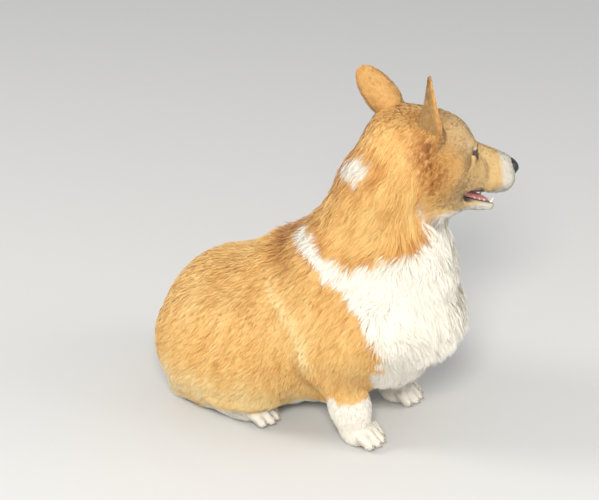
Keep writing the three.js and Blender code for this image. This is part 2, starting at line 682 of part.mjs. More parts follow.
// The pocket for a hind paw: a smooth hull round its heel and toes
const hindSeat = (s) => (grow) => {
  const rounds = [
    [at(s * hindX, 158, 13), 22],
    [hindPawCentre(s).add(at(-17, -24, 1)), 10],
    [hindPawCentre(s).add(at(17, -24, 1)), 10],
    [hindPawCentre(s).add(at(-6, -34, 1)), 10],
    [hindPawCentre(s).add(at(6, -34, 1)), 10],
  ];
  const points = rounds.flatMap(([place, radius]) => {
    const position = new THREE.SphereGeometry(radius + grow, 9, 6).getAttribute("position");
    const corner = (i) => at(0, 0, 0).fromBufferAttribute(position, i).add(place);
    return Array.from({ length: position.count }, (_, i) => corner(i));
  });
  return solid(new ConvexGeometry(points));
};
const torsoShell = shell(flesh, at(-140, -130, -14), at(140, 330, 300), 23);
const torsoSolid = united(torsoShell, torsoLocks).intersect(above(0));
const limbCuts = sides.flatMap(([, s]) => [foreCut(s), hindCut(s), hindSeat(s)]);
part("torso", without(torsoSolid, [neckCut, tailCut, ...limbCuts]), coat);
part("tail", shell(flesh, at(-50, 220, 20), at(50, 340, 120), 10).intersect(tailCut(0)), coat);

for (const [side, s] of sides) {
  const inX = (a, b) => (s > 0 ? [a, b] : [-b, -a]);
  const [foreLow, foreHigh] = inX(10, 130);
  const fore = shell(flesh, at(foreLow, -90, -14), at(foreHigh, 110, 210), 13.2).intersect(above(0));
  part(`foreleg_${side}`, without(fore.intersect(foreCut(s)(0)), [pawCut(s)]), coat);
  const paw = shell(flesh, at(foreLow, -90, -14), at(foreHigh, 100, 60), 6.3).intersect(above(0));
  const pawSolid = paw.intersect(foreCut(s)(0)).intersect(pawCut(s)(0));
  part(`forepaw_${side}`, withClaws(pawSolid, forePawCentre(s), 28), white);
  const [hindLow, hindHigh] = inX(20, 150);
  const hind = shell(flesh, at(hindLow, 50, -14), at(hindHigh, 310, 210), 18).intersect(above(0));
  part(`hindleg_${side}`, without(hind.intersect(hindCut(s)(0)), [hindSeat(s)]), coat);
  part(`hindpaw_${side}`, withClaws(hindPaw(s), hindPawCentre(s), 34), white);
}

for (const mesh of dog.children) mesh.geometry.translate(...originShift);

export default dog;
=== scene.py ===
"""The looks of a seated Pembroke Welsh Corgi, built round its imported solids.

One smooth skin is modelled from the body's forms, a coat's depth under the solids' surface. Over it lie
joined strands of fur that follow the lie of the coat. Sizes are in millimetres, in the dog's own frame:
its left is +X, it faces -Y, and the point between its forepaws is the origin."""
import math
from contextlib import contextmanager

import bmesh
import bpy
import numpy as np
from mathutils import Matrix, Vector, kdtree


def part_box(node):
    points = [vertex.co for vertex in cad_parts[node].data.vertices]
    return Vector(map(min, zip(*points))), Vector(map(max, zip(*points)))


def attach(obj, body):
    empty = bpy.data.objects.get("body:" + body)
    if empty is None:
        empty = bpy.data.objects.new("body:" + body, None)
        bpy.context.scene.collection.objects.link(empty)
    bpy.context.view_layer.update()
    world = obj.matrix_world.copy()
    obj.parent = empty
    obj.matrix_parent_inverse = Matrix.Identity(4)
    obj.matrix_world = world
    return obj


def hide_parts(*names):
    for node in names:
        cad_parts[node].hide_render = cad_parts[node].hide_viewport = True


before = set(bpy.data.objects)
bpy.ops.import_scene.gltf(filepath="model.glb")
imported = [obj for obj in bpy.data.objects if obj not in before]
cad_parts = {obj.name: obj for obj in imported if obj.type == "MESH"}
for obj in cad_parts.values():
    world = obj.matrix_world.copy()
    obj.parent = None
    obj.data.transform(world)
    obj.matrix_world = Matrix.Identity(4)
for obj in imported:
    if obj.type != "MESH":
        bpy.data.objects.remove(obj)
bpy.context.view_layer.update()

MM = 0.001
SEED = 2611
ORIGIN = np.array([-9.5, -91.0, 0.0])  # the frame's place of the point between the forepaws

# Driving dimensions
WITHERS = 250
CHEST_WIDTH = 168
HAUNCH_WIDTH = 226
NECK_RADIUS = 64
SKULL_LENGTH = 130
SKULL_WIDTH = 114
MUZZLE_LENGTH = 92
EAR_LENGTH = 61
EAR_ARC = 58  # round the cup, at its root
EAR_ROOT = 16  # sunk in the head
EYE_RADIUS = 10.5
LID_THICKNESS = 2.2
PAW_WIDTH = 46
PAW_SPREAD = 108
HIND_PAW_SPREAD = 134
HEAD_YAW, HEAD_PITCH, HEAD_ROLL = 60, 20, 2  # degrees: to the dog's left, nose down, lean
JAW_OPENING = 5  # degrees

SIDES = (("left", 1), ("right", -1))


# Frames

def turned(x=0, y=0, z=0, order="XYZ"):
    """A 3 x 3 turn by angles in degrees, multiplied in the given order."""
    turns = {"X": Matrix.Rotation(math.radians(x), 3, "X"),
             "Y": Matrix.Rotation(math.radians(y), 3, "Y"),
             "Z": Matrix.Rotation(math.radians(z), 3, "Z")}
    product = Matrix.Identity(3)
    for axis in order:
        product = product @ turns[axis]
    return np.array(product)


class Frame:
    """A placed frame: carries points from its own axes to the dog's, and back."""

    def __init__(self, place, turn):
        self.place = np.array(place, float)
        self.turn = turn

    def out(self, p):
        return p @ self.turn.T + self.place

    def into(self, p):
        return (p - self.place) @ self.turn

    def way_out(self, v):
        return v @ self.turn.T


HEAD = Frame((11, -35, 367), turned(HEAD_PITCH, HEAD_ROLL, HEAD_YAW, "ZXY"))
JAW_HINGE = np.array([0.0, -2.0, -36.0])
JAW_TURN = turned(x=JAW_OPENING)


def in_jaw(h):
    """Points of the head's frame, in the opened lower jaw's own frame."""
    return (h - JAW_HINGE) @ JAW_TURN + JAW_HINGE


def out_of_jaw(h):
    return (h - JAW_HINGE) @ JAW_TURN.T + JAW_HINGE


def jaw_out(j):
    """Points of the lower jaw's frame, in the dog's."""
    return HEAD.out(out_of_jaw(j))


def same(p):
    return p


def in_scene(p):
    """The dog's millimetres as the scene's metres."""
    return (p + ORIGIN) * MM


def in_dog(p):
    return p / MM - ORIGIN


# Forms: an egg or a limb, each with the fillet that joins it to those before it

def egg(centre, radii, turn=(0, 0, 0), fillet=20):
    return {"centre": np.array(centre, float), "radii": np.array(radii, float),
            "turn": turned(*turn), "fillet": fillet}


def limb(start, start_radius, end, end_radius, fillet=20):
    return {"start": np.array(start, float), "end": np.array(end, float),
            "reach": (start_radius, end_radius), "fillet": fillet}


def both_sides(make):
    return [make(s) for _, s in SIDES]


def distance(form, p):
    """The rough distance of points outside a form."""
    if "radii" in form:
        q = (p - form["centre"]) @ form["turn"]
        near = np.linalg.norm(q / form["radii"], axis=1)
        slope = np.linalg.norm(q / form["radii"] ** 2, axis=1)
        return near * (near - 1) / np.maximum(slope, 1e-6)
    along = form["end"] - form["start"]
    q = p - form["start"]
    share = np.clip(q @ along / (along @ along), 0, 1)
    small, big = form["reach"]
    return np.linalg.norm(q - share[:, None] * along, axis=1) - small - share * (big - small)


def joined(a, b, fillet):
    share = np.maximum(fillet - np.abs(a - b), 0) / fillet
    return np.minimum(a, b) - share * share * fillet / 4


def carved(a, b, fillet):
    return -joined(-a, b, fillet)


def all_joined(forms, p, start=None):
    for form in forms:
        d = distance(form, p)
        start = d if start is None else joined(start, d, form["fillet"])
    return start


def fade(low, high, x):
    """0 before `low` and 1 past `high`, with a soft rise between."""
    t = np.clip((x - low) / (high - low), 0, 1)
    return t * t * (3 - 2 * t)


def bump(x, middle, spread):
    return np.exp(-((x - middle) / spread) ** 2)


def line_distance(p, points):
    """The distance to a path of straight lengths."""
    nearest = np.full(len(p), 1e9)
    for start, end in zip(points, points[1:]):
        start, end = np.array(start, float), np.array(end, float)
        share = np.clip((p - start) @ (end - start) / ((end - start) @ (end - start)), 0, 1)
        nearest = np.minimum(nearest, np.linalg.norm(p - start - share[:, None] * (end - start), axis=1))
    return nearest


def along(p, path, width):
    """1 on a path, fading out over about the given width."""
    return bump(line_distance(p, path), 0, width)


def one_side(p, sign):
    """The points, with those of the other side mirrored to the side of that sign."""
    return np.column_stack((sign * np.abs(p[:, 0]), p[:, 1:]))


# The body's forms


half_chest = CHEST_WIDTH / 2
paw_x = PAW_SPREAD / 2
paw_y = 10
wrist = 44
hind_x = HIND_PAW_SPREAD / 2
TORSO = [
    egg((0, 8, 150), (half_chest, 84, 88), (-12, 0, 0)),  # ribcage and forechest
    limb((0, 40, 152), half_chest, (0, 178, 98), half_chest + 4, 40),  # barrel
    egg((0, 190, 88), (half_chest + 12, 94, 86), fillet=40),  # rump
    limb((0, 262, 72), 20, (0, 282, 66), 15, 14),  # docked tail
    egg((0, -46, 148), (58, 46, 42), fillet=30),  # bib
    limb((0, 58, WITHERS - 62), 56, (0, 118, WITHERS - 96), 60, 40),  # withers
    limb((0, 70, 76), 62, (0, 190, 70), 66, 40),  # belly
    *both_sides(lambda s: egg((s * (HAUNCH_WIDTH / 2 - 46), 176, 82), (48, 96, 78), (-12, 0, s * 6), 30)),
    *both_sides(lambda s: limb((s * 56, -24, 168), 40, (s * 60, 40, 112), 35, 24)),  # shoulder to elbow
]
NECK = [
    limb((0, 32, 212), NECK_RADIUS + 8, (6, -8, 310), NECK_RADIUS - 3, 36),
    limb((6, -8, 310), NECK_RADIUS - 6, (10, -22, 352), 50, 24),
    limb((0, -22, 205), 66, (6, -14, 294), 58, 30),  # throat
]
FORELEGS = [
    *both_sides(lambda s: limb((s * 59, 34, 108), 31, (s * paw_x, paw_y + 6, wrist), 23.5, 18)),
    *both_sides(lambda s: limb((s * paw_x, paw_y + 6, wrist), 22.5, (s * paw_x, paw_y, 20), 20, 12)),
]
LEGS = [
    *FORELEGS,
    *both_sides(lambda s: limb((s * (hind_x - 6), 236, 24), 22, (s * hind_x, 152, 17), 16, 12)),
]
TOE_RADIUS = 7
TOE_PLACES = (-1.5, -0.5, 0.5, 1.5)


def toe_length(reach, place):
    """The outer toes are shorter than the middle two."""
    return reach if abs(place) < 1 else reach * 0.8


def toe_points(centre, reach, place):
    """A toe's root, knuckle and tip."""
    length = toe_length(reach, place)
    steps = ((7.5 * place, 0, 6), (10 * place, -0.62 * length, 4), (10.6 * place, -length, -4))
    return [np.array(centre) + step for step in steps]


def toes(centre, reach):
    forms = []
    for place in TOE_PLACES:
        root, knuckle, tip = toe_points(centre, reach, place)
        forms.append(limb(root, TOE_RADIUS, knuckle, TOE_RADIUS + 0.6, 3))
        forms.append(limb(knuckle, TOE_RADIUS + 0.6, tip, TOE_RADIUS - 0.6, 2.5))
    return forms


FORE_REACH, HIND_REACH = 28, 34


def fore_centre(s):
    return (s * (paw_x + 1), paw_y - 4, 12)


def hind_centre(s):
    return (s * hind_x, 146, 12)


PAWS = [form for _, s in SIDES for form in (
    egg((s * (paw_x + 1), paw_y - 6, 12), (PAW_WIDTH / 2 - 3, 22, 16), fillet=10),
    *toes(fore_centre(s), FORE_REACH),
    egg((s * hind_x, 150, 13), (20, 28, 17), fillet=10),
    *toes(hind_centre(s), HIND_REACH))]

# The head's forms, in its own frame
half_skull = SKULL_WIDTH / 2
stop = 12 - SKULL_LENGTH / 2  # y of the step from forehead to muzzle
nose_tip = stop - MUZZLE_LENGTH
LIP = -44  # z where the closed lips meet
CORNER = -60  # y of the mouth's corners
SKULL = [
    egg((0, 2, -4), (half_skull - 6, SKULL_LENGTH / 2, 43)),
    egg((0, -28, 12), (34, 32, 26), fillet=16),  # forehead
    *both_sides(lambda s: egg((s * 36, 2, -26), (22, 42, 31), fillet=18)),  # cheeks
    *both_sides(lambda s: egg((s * 23, stop + 8, 10), (13, 12, 10), fillet=10)),  # brows
    *both_sides(lambda s: egg((s * 35, 22, 18), (20, 16, 18), fillet=14)),  # ear roots
    limb((0, 20, -36), 46, (0, -18, -40), 31, 20),  # throat
]
MUZZLE = [
    limb((0, stop + 10, -17), 31, (0, nose_tip + 25, -20), 21, 16),
    limb((0, stop + 2, -4), 18, (0, nose_tip + 14, -11), 12, 12),  # bridge
    # Flews, then cheekbones
    *both_sides(lambda s: limb((s * 18, stop - 4, -31), 18, (s * 10.5, nose_tip + 18, -26), 15.5, 10)),
    *both_sides(lambda s: limb((s * 36, -22, -18), 17, (s * 20, stop - 16, -20), 14, 14)),
]
JAW = [
    limb((0, -12, -55), 19, (0, -70, -51), 13, 10),
    limb((0, -70, -51), 13, (0, nose_tip + 19, -49), 9.5, 8),
    *both_sides(lambda s: limb((s * 22, -16, -50), 13, (s * 9, nose_tip + 24, -49), 7.5, 8)),
]


def bare_head(h):
    return joined(all_joined(SKULL + MUZZLE, h), all_joined(JAW, in_jaw(h)), 8)


# Eyes: each in a frame whose z is its axis and x runs along the lids
def eye_frame(s):
    axis = np.array([s * math.sin(math.radians(32)), -math.cos(math.radians(32)), 0.12])
    axis /= np.linalg.norm(axis)
    across = np.cross((0, 0, 1), axis)
    across /= np.linalg.norm(across)
    low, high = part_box("eye_left" if s > 0 else "eye_right")
    middle = HEAD.into(in_dog(np.array((low + high) / 2)))
    return Frame(middle, np.column_stack((across, np.cross(axis, across), axis)))


EYES = {s: eye_frame(s) for _, s in SIDES}
EYE_WIDTH = 9.4  # half the opening between the lids
LID_RISE, LID_FALL = 5.8, 4.2
SOCKET_FLOOR = 5.5  # how far in front of the eye's middle the opening ends


def eye_distance(h):
    """The distance from the middle of the nearer eye."""
    return np.minimum(*[np.linalg.norm(h - EYES[s].place, axis=1) for _, s in SIDES])


def almond(s, h):
    """How far outside the almond between one eye's lids points are, in the plane across the eye."""
    u, v, w = EYES[s].into(h).T
    u = u * s
    arch = 1 - np.clip((u + 0.6) / EYE_WIDTH, -1, 1) ** 2
    slant = 0.1 * u
    edge = np.maximum(v - slant - LID_RISE * arch, slant - LID_FALL * arch - v)
    return np.maximum(np.maximum(edge, np.abs(u) - EYE_WIDTH), SOCKET_FLOOR - w)


def lid_opening(h):
    """How far outside both eyes' openings points are."""
    return np.minimum(*[almond(s, h) for _, s in SIDES])


def mouth(h):
    """How far outside the open mouth points are: it lies between the lifted upper lip and the lower jaw."""
    x, y, z = h.T
    edge = 20.5 + 0.07 * (y - nose_tip - 25)
    shell = fade(edge - 4, edge - 1.5, np.abs(x))
    lift = 8 * bump(y, CORNER - 18, 18) * shell
    drop = -math.tan(math.radians(JAW_OPENING)) * (y - JAW_HINGE[1])
    sag = 3.5 * bump(y, CORNER - 14, 16) * shell
    closing = 1 - np.sqrt(1 - (1 - np.clip((CORNER - y) / 11, 0, 1)) ** 2)
    j = in_jaw(h)
    above = z - LIP - lift + closing * (lift + drop / 2)
    below = LIP - sag + closing * (sag + drop / 2) - j[:, 2]
    gap = np.maximum(np.maximum(above, below), y - CORNER)
    palate = distance(egg((0, -92, LIP), (14, 40, 10)), h)
    floor = distance(egg((0, -88, LIP + 1), (12, 42, 9)), j)
    return joined(gap, joined(palate, floor, 3), 3)


# Folds: paths along the right side, in the dog's frame, and in the head's frame
SADDLE_BAND = ((53, 140, 214), (65, 118, 199), (77, 96, 178), (87, 74, 156), (92, 60, 118))
FLANK_FOLD = ((76, 112, 168), (84, 98, 150), (90, 82, 130), (94, 70, 112))
ELBOW_FOLD = ((90, 52, 100), (94, 36, 104), (92, 26, 96), (86, 20, 84))
EYE_CREASE = ((-35, -49, 8), (-38, -51, -2), (-46, -45, -9), (-50, -39, -15), (-52, -36, -25),
              (-54, -26, -32))
TEMPLE_CREASE = ((-36, -46, 9), (-44, -34, 8), (-50, -22, 4), (-53, -10, -2))
LIP_CREASE = ((-52, -28, -30), (-51, -34, -42), (-49, -34, -50))


def folds(p, h):
    """How far the surface sinks into the folds of the skin, or rises between them where this is below 0."""
    side, face = one_side(p, 1), one_side(h, -1)
    sunk = 3.5 * along(side, FLANK_FOLD, 8) - 3 * along(side, SADDLE_BAND, 13)
    sunk += 3.5 * along(side, ELBOW_FOLD, 7)
    sunk += 1.8 * along(face, EYE_CREASE, 4)
    return sunk + 0.9 * along(face, TEMPLE_CREASE, 4) + along(face, LIP_CREASE, 4)


def flesh(p):
    """The body's outer form, with the mouth closed over."""
    h = HEAD.into(p)
    d = joined(all_joined(TORSO + NECK, p), all_joined(LEGS, p), 10)
    lids = eye_distance(h) - EYE_RADIUS - LID_THICKNESS
    d = joined(d, joined(bare_head(h), lids, 5), 20) + folds(p, h)
    low = p[:, 2] < 60
    if low.any():
        d[low] = joined(d[low], all_joined(PAWS, p[low]), 5)
    return d


def neck_line(h):
    """How far points lie to the head's side of the line where head meets neck."""
    return (h - np.array([0, 20, -42])) @ np.array([0, -0.731, 0.682])


HEAD_ROOM = limb((0, 0, -14), 68, (0, -130, -28), 34)  # all of the head, and nothing behind it


def headness(h, blend=14):
    """1 on the head, 0 on the neck and body, blended over twice the given width where they meet."""
    return fade(-blend, blend, neck_line(h)) * fade(14, 2, distance(HEAD_ROOM, h))


def coat_depth(p):
    """The depth of the coat over the skin."""
    h = HEAD.into(p)
    x, y, z = p.T
    is_head = headness(h)
    head = 3.5 - 1.8 * fade(-10, -60, h[:, 1]) + 3 * fade(0, 40, h[:, 1])
    is_leg = fade(110, 60, z) * fade(70, 50, y)
    trunk = 8.5 + 2.5 * fade(150, 220, z) + 2 * fade(-10, -60, y)
    body = trunk * (1 - is_leg) + (2 + 2.5 * fade(25, 60, z)) * is_leg
    hind_foot = fade(52, 30, z) * fade(190, 170, y) * fade(92, 104, y)
    body = body * (1 - hind_foot) + 2 * hind_foot
    return head * is_head + body * (1 - is_head)


def height_over_skin(p):
    return flesh(p) + coat_depth(p)


def skin_form(p):
    """The skin: the flesh under the coat's depth, with the mouth and the eyes' openings carved."""
    h = HEAD.into(p)
    d = height_over_skin(p)
    near = (h[:, 1] < 0) & (np.abs(h[:, 0]) < 80) & (np.abs(h[:, 2]) < 90)
    if near.any():
        face = h[near]
        d[near] = carved(carved(d[near], mouth(face), 3), lid_opening(face), 1.0)
    return np.maximum(d, -p[:, 2])


def slope_of(field, p, step=0.4):
    here = field(p)
    slope = np.empty_like(p)
    for axis in range(3):
        ahead = p.copy()
        ahead[:, axis] += step
        slope[:, axis] = (field(ahead) - here) / step
    return here, slope


def settle(field, p, rounds=2, most=4.0):
    """Moves points onto a field's surface, each by no more than `most` a round."""
    for _ in range(rounds):
        here, slope = slope_of(field, p)
        square = np.maximum((slope ** 2).sum(1), 0.2)
        move = -slope * (here / square)[:, None]
        size = np.linalg.norm(move, axis=1)
        p = p + move * np.minimum(1, most / np.maximum(size, 1e-6))[:, None]
    return p


# Meshes

def read(items, key, width, kind=float):
    """A row of values for each item."""
    values = np.empty(len(items) * width, kind)
    items.foreach_get(key, values)
    return values.reshape(-1, width)


def points_of(mesh):
    return read(mesh.vertices, "co", 3)


def set_points(mesh, points):
    mesh.vertices.foreach_set("co", points.ravel())
    mesh.update()


def write(mesh, name, values):
    """Gives each of the mesh's points its colour, vector or value, in an attribute."""
    kind, key = {4: ("FLOAT_COLOR", "color"), 3: ("FLOAT_VECTOR", "vector")}.get(
        values.shape[-1], ("FLOAT", "value"))
    mesh.attributes.new(name, kind, "POINT").data.foreach_set(key, values.ravel())


def made_mesh(name, bm):
    """The bmesh as a new mesh."""
    mesh = bpy.data.meshes.new(name)
    bm.to_mesh(mesh)
    bm.free()
    return mesh


@contextmanager
def opened(mesh):
    """The mesh as a bmesh, for a while."""
    bm = bmesh.new()
    bm.from_mesh(mesh)
    bm.verts.ensure_lookup_table()
    yield bm
    bm.to_mesh(mesh)
    bm.free()


def new_piece(name, mesh):
    piece = bpy.data.objects.new(name, mesh)
    bpy.context.scene.collection.objects.link(piece)
    return piece


def add_form(bm, form, carry):
    """Adds a form as a closed shell to a bmesh, carried from its own frame to the dog's."""
    shell = bmesh.new()
    if "radii" in form:
        bmesh.ops.create_icosphere(shell, subdivisions=4, radius=1)
        for v in shell.verts:
            v.co = Vector(form["centre"] + form["turn"] @ (np.array(v.co) * form["radii"]))
    else:
        for end, radius in zip((form["start"], form["end"]), form["reach"]):
            bmesh.ops.create_icosphere(shell, subdivisions=3, radius=radius, matrix=Matrix.Translation(end))
        hull = bmesh.ops.convex_hull(shell, input=shell.verts)
        inside = {v for v in hull["geom_interior"] if isinstance(v, bmesh.types.BMVert)}
        bmesh.ops.delete(shell, geom=list(inside), context="VERTS")
    points = carry(np.array([v.co for v in shell.verts]))
    for v, place in zip(shell.verts, points):
        v.co = place
    holder = made_mesh("form", shell)
    bm.from_mesh(holder)
    bpy.data.meshes.remove(holder)


def applied(piece):
    """The piece's mesh with its modifiers applied. The piece is removed."""
    fresh = bpy.data.meshes.new_from_object(piece.evaluated_get(bpy.context.evaluated_depsgraph_get()))
    old = piece.data
    bpy.data.objects.remove(piece)
    bpy.data.meshes.remove(old)
    return fresh


def remeshed(mesh, size):
    """The mesh, wrapped anew in even faces of the given size."""
    piece = new_piece("blank", mesh)
    wrap = piece.modifiers.new("wrap", "REMESH")
    wrap.mode = "VOXEL"
    wrap.voxel_size = size
    return applied(piece)


def mouth_wedge():
    """A closed wedge between the jaws, from the mouth's corners forward."""
    bm = bmesh.new()
    bmesh.ops.create_cube(bm, size=1)
    for v in bm.verts:
        x, y, z = v.co
        h = np.array([[x * 140, CORNER + 2 if y > 0 else CORNER - 140, LIP]])
        if z < 0:
            h = out_of_jaw(h)
        v.co = HEAD.out(h)[0]
    return made_mesh("mouth_wedge", bm)


def cut_from(mesh, cutter_mesh):
    piece, cutter = new_piece("blank", mesh), new_piece("cutter", cutter_mesh)
    cut = piece.modifiers.new("cut", "BOOLEAN")
    cut.operation = "DIFFERENCE"
    cut.solver = "MANIFOLD"
    cut.object = cutter
    fresh = applied(piece)
    bpy.data.objects.remove(cutter)
    bpy.data.meshes.remove(cutter_mesh)
    return fresh


def refine(mesh, chosen):
    """Divides the edges whose ends are both chosen."""
    with opened(mesh) as bm:
        edges = [e for e in bm.edges if chosen[e.verts[0].index] and chosen[e.verts[1].index]]
        bmesh.ops.subdivide_edges(bm, edges=edges, cuts=1, use_grid_fill=True)


ALL_AXES = ("use_axis_x", "use_axis_y", "use_axis_z")


def relax(mesh, rounds, chosen=None):
    """Evens out the chosen points, or all of them."""
    with opened(mesh) as bm:
        verts = [v for v in bm.verts if chosen is None or chosen[v.index]]
        for _ in range(rounds):
            bmesh.ops.smooth_vert(bm, verts=verts, factor=0.5, **dict.fromkeys(ALL_AXES, True))


SKIN_CELL = 2.5
EYE_REACH, LID_REACH = 22, 19  # how far round the eyes the skin is divided once, and again
LIP_REACH = 6
LID_EDGE = 1.3


def make_skin():
    bm = bmesh.new()
    for forms, carry in ((TORSO + NECK + LEGS + PAWS, same), (SKULL + MUZZLE, HEAD.out), (JAW, jaw_out)):
        for form in forms:
            add_form(bm, form, carry)
    mesh = remeshed(made_mesh("skin_blank", bm), SKIN_CELL)
    mesh = cut_from(mesh, mouth_wedge())
    set_points(mesh, settle(skin_form, points_of(mesh), rounds=3, most=5))
    mesh = remeshed(mesh, SKIN_CELL)
    relax(mesh, 2)
    set_points(mesh, settle(skin_form, points_of(mesh)))
    for reach in (EYE_REACH, LID_REACH):
        h = HEAD.into(points_of(mesh))
        chosen = eye_distance(h) < reach
        if reach == EYE_REACH:
            chosen |= (np.abs(mouth(h)) < LIP_REACH) & (h[:, 1] < CORNER + 8)
        refine(mesh, chosen)
        relax(mesh, 1)
        set_points(mesh, settle(skin_form, points_of(mesh), most=2))
    relax(mesh, 2, np.abs(lid_opening(HEAD.into(points_of(mesh)))) < LID_EDGE)
    return mesh


# Markings: how white, how pale or red, how grey and how dark the coat is, each from 0 to 1

def ripple(p, size, seed):
    """A smooth uneven pattern over space, between about -1 and 1, with swells of the given size."""
    draw = np.random.default_rng(seed)
    total = 0
    for _ in range(6):
        way = draw.normal(size=3)
        turns = p @ (way / np.linalg.norm(way)) * draw.uniform(0.7, 1.5) / size
        total = total + np.sin(2 * np.pi * (turns + draw.random()))
    return total / 3.2


def bib_white(p):
    """White in front of the shoulders and under the neck's mantle, running up behind it to the withers."""
    x, y, z = p.T
    before = np.interp(z, (80, 116, 138, 154, 167, 182, 200, 210, 224, 234, 242, 262),
                       (-16, -20, -33, -40, -37, -25, 2, 14, 36, 54, 86, 112)) - y
    before = before - 16 * bump(z, 217, 5)
    below = np.interp(y, (-66, -60, -56, -51, -46, -29, -8, 7, 40, 60, 110),
                      (335, 322, 302, 287, 276, 263, 249, 245, 250, 258, 260)) - z
    apart = np.abs(x) - 16 + 60 * fade(60, 40, y)
    return np.minimum(np.minimum(before, below), apart)


def leg_white(p):
    x, y, z = p.T
    elbow = 64 + 0.016 * np.clip(y - 4, -26, 26) ** 2
    fore = np.minimum(np.minimum(elbow - z, 7 - all_joined(FORELEGS, p)), 66 - 0.5 * z - y)
    hind = np.minimum(24 - z, 188 - y)
    belly = np.minimum(46 - np.abs(x), 50 - z)
    return np.maximum(np.maximum(fore, hind), belly)


NAPE_PATCH = ((-4, 70, 328), (-22, 46, 346), (-48, 6, 361))


def nape_white(p):
    widening = fade(55, -8, p[:, 1])
    return 13 + 3 * widening - line_distance(p, NAPE_PATCH)


def face_white(h):
    """White round the end of the muzzle, under the jaw and on the throat."""
    x, y, z = h.T
    tip = np.interp(z, (-46, -37, -30, -20, -8, 6), (-104, -111, -116, -114, -112, -113)) - y
    tip = tip + 1.6 * ripple(h, 9, 15)
    chin = np.minimum(np.interp(y, (-125, -95, -70, -40, 0), (-50, -56, -60, -65, -76)) - z, -20 - y)
    return np.maximum(tip, chin)


# Places and paths along the right side: in the head's frame, and two on the neck in the dog's frame
FRECKLES = [(-21 - row, -128 + 6.5 * n + row, -16 - 6 * row) for row in range(3) for n in range(4)]
MOUTH_CORNER = (-34, -58, -46)
RUFF = ((-47, 30, 8), (-54, 25, -8), (-61, 15, -20), (-65, 13, -34))
CURLS = (((-42, 42, 2), (-50, 38, -10), (-56, 32, -18)),
         ((-60, 24, -12), (-62, 18, -22), (-66, 22, -32), (-58, 34, -34)),
         ((-48, 30, 14), (-56, 24, 4), (-60, 16, -4)),
         ((-58, 40, -26), (-62, 32, -40), (-58, 22, -48)))
NECK_SHADE = ((50, 78, 236), (66, 40, 262), (62, 8, 300))
NECK_LIGHT = ((62, -20, 340), (66, -10, 300), (72, 10, 262))


def markings(p):
    h = HEAD.into(p)
    x, y, z = p.T
    head_y, head_z = h[:, 1], h[:, 2]
    side, face = one_side(p, 1), one_side(h, -1)
    is_head = headness(h, 8)

    # White
    uneven = 2.5 * ripple(p, 30, 1) + 1.5 * ripple(p, 10, 2)
    bib = bib_white(p)
    on_body = np.maximum(np.maximum(bib, leg_white(p)), nape_white(p))
    on_face = np.maximum(face_white(h), np.minimum(np.minimum(bib, 294 - z), head_y + 42))
    white = fade(-3, 3, on_body + uneven) * (1 - is_head)
    white = white + fade(-5, 5, on_face + 0.6 * uneven) * is_head

    # From red to pale
    streaks = ripple(p * (1, 0.45, 0.45), 11, 3)
    # The saddle band is paler: partly the coat's own pale saddle, partly a painted highlight on the lit side
    # of its fold
    trunk = 0.5 + 0.3 * along(side, SADDLE_BAND, 13)
    # Painted shade: the coat turns redder along the flank and elbow folds
    trunk -= 0.2 * along(side, FLANK_FOLD, 4.5) + 0.16 * along(side, ELBOW_FOLD, 4)
    trunk += 0.22 * fade(100, 45, z) * fade(60, 90, y) + 0.05 * streaks
    trunk += 0.06 * ripple(p, 70, 4)
    trunk += 0.08 * fade(180, 240, y)
    trunk -= 0.10 * along(side, NECK_SHADE, 14)
    trunk += 0.10 * along(side, NECK_LIGHT, 12)
    trunk -= 0.16 * fade(196, 226, z) * fade(70, 110, y)
    trunk -= 0.14 * fade(-26, -6, on_body) * fade(225, 240, z)
    curls = along(face, RUFF, 18)
    forehead = fade(-2, 14, head_z) * fade(30, -20, head_y) * fade(-62, -48, head_y)
    head = 0.50 + 0.16 * fade(0, -50, head_y) + 0.05 * streaks
    head += 0.16 * bump(head_y, -85, 34) - 0.5 * curls * (0.6 + 0.4 * ripple(p, 7, 5))
    head += 0.16 * forehead
    shade = trunk * (1 - is_head) + head * is_head - 0.25 * curls * (1 - is_head)

    # Grey over the forehead, and dark lines: painted shade along the face's creases, painted shadows between
    # the ruff's curls, and the dark rims of the lids, the freckles and the mouth's corner
    before_eyes = fade(0, -30, head_y) * fade(-70, -50, head_y)
    grey = is_head * np.maximum(0.36 * forehead, 0.16 * before_eyes)
    # Painted shade along the creases by the eye, over the temple and by the lips
    crease_shade = 0.75 * along(face, EYE_CREASE, 1.8)
    crease_shade += 0.3 * along(face, TEMPLE_CREASE, 1.8)
    crease_shade += 0.3 * along(face, LIP_CREASE, 2.2)
    spots = fade(4.2, 2, lid_opening(h)) * (head_y < -20)
    for freckle in FRECKLES:
        spots = np.maximum(spots, 0.55 * bump(np.linalg.norm(face - freckle, axis=1), 0, 1.3))
    corner = 0.6 * bump(np.linalg.norm(face - MOUTH_CORNER, axis=1), 0, 7)
    # Painted shadows between the curls of the ruff behind the ear
    curl_shadows = np.maximum.reduce([along(face, curl, 3.0) for curl in CURLS])
    dark = np.maximum(np.maximum(crease_shade, spots), corner) * is_head + 0.12 * curls + 0.5 * curl_shadows
    return np.clip(np.column_stack((white, shade, grey, dark)), 0, 1)


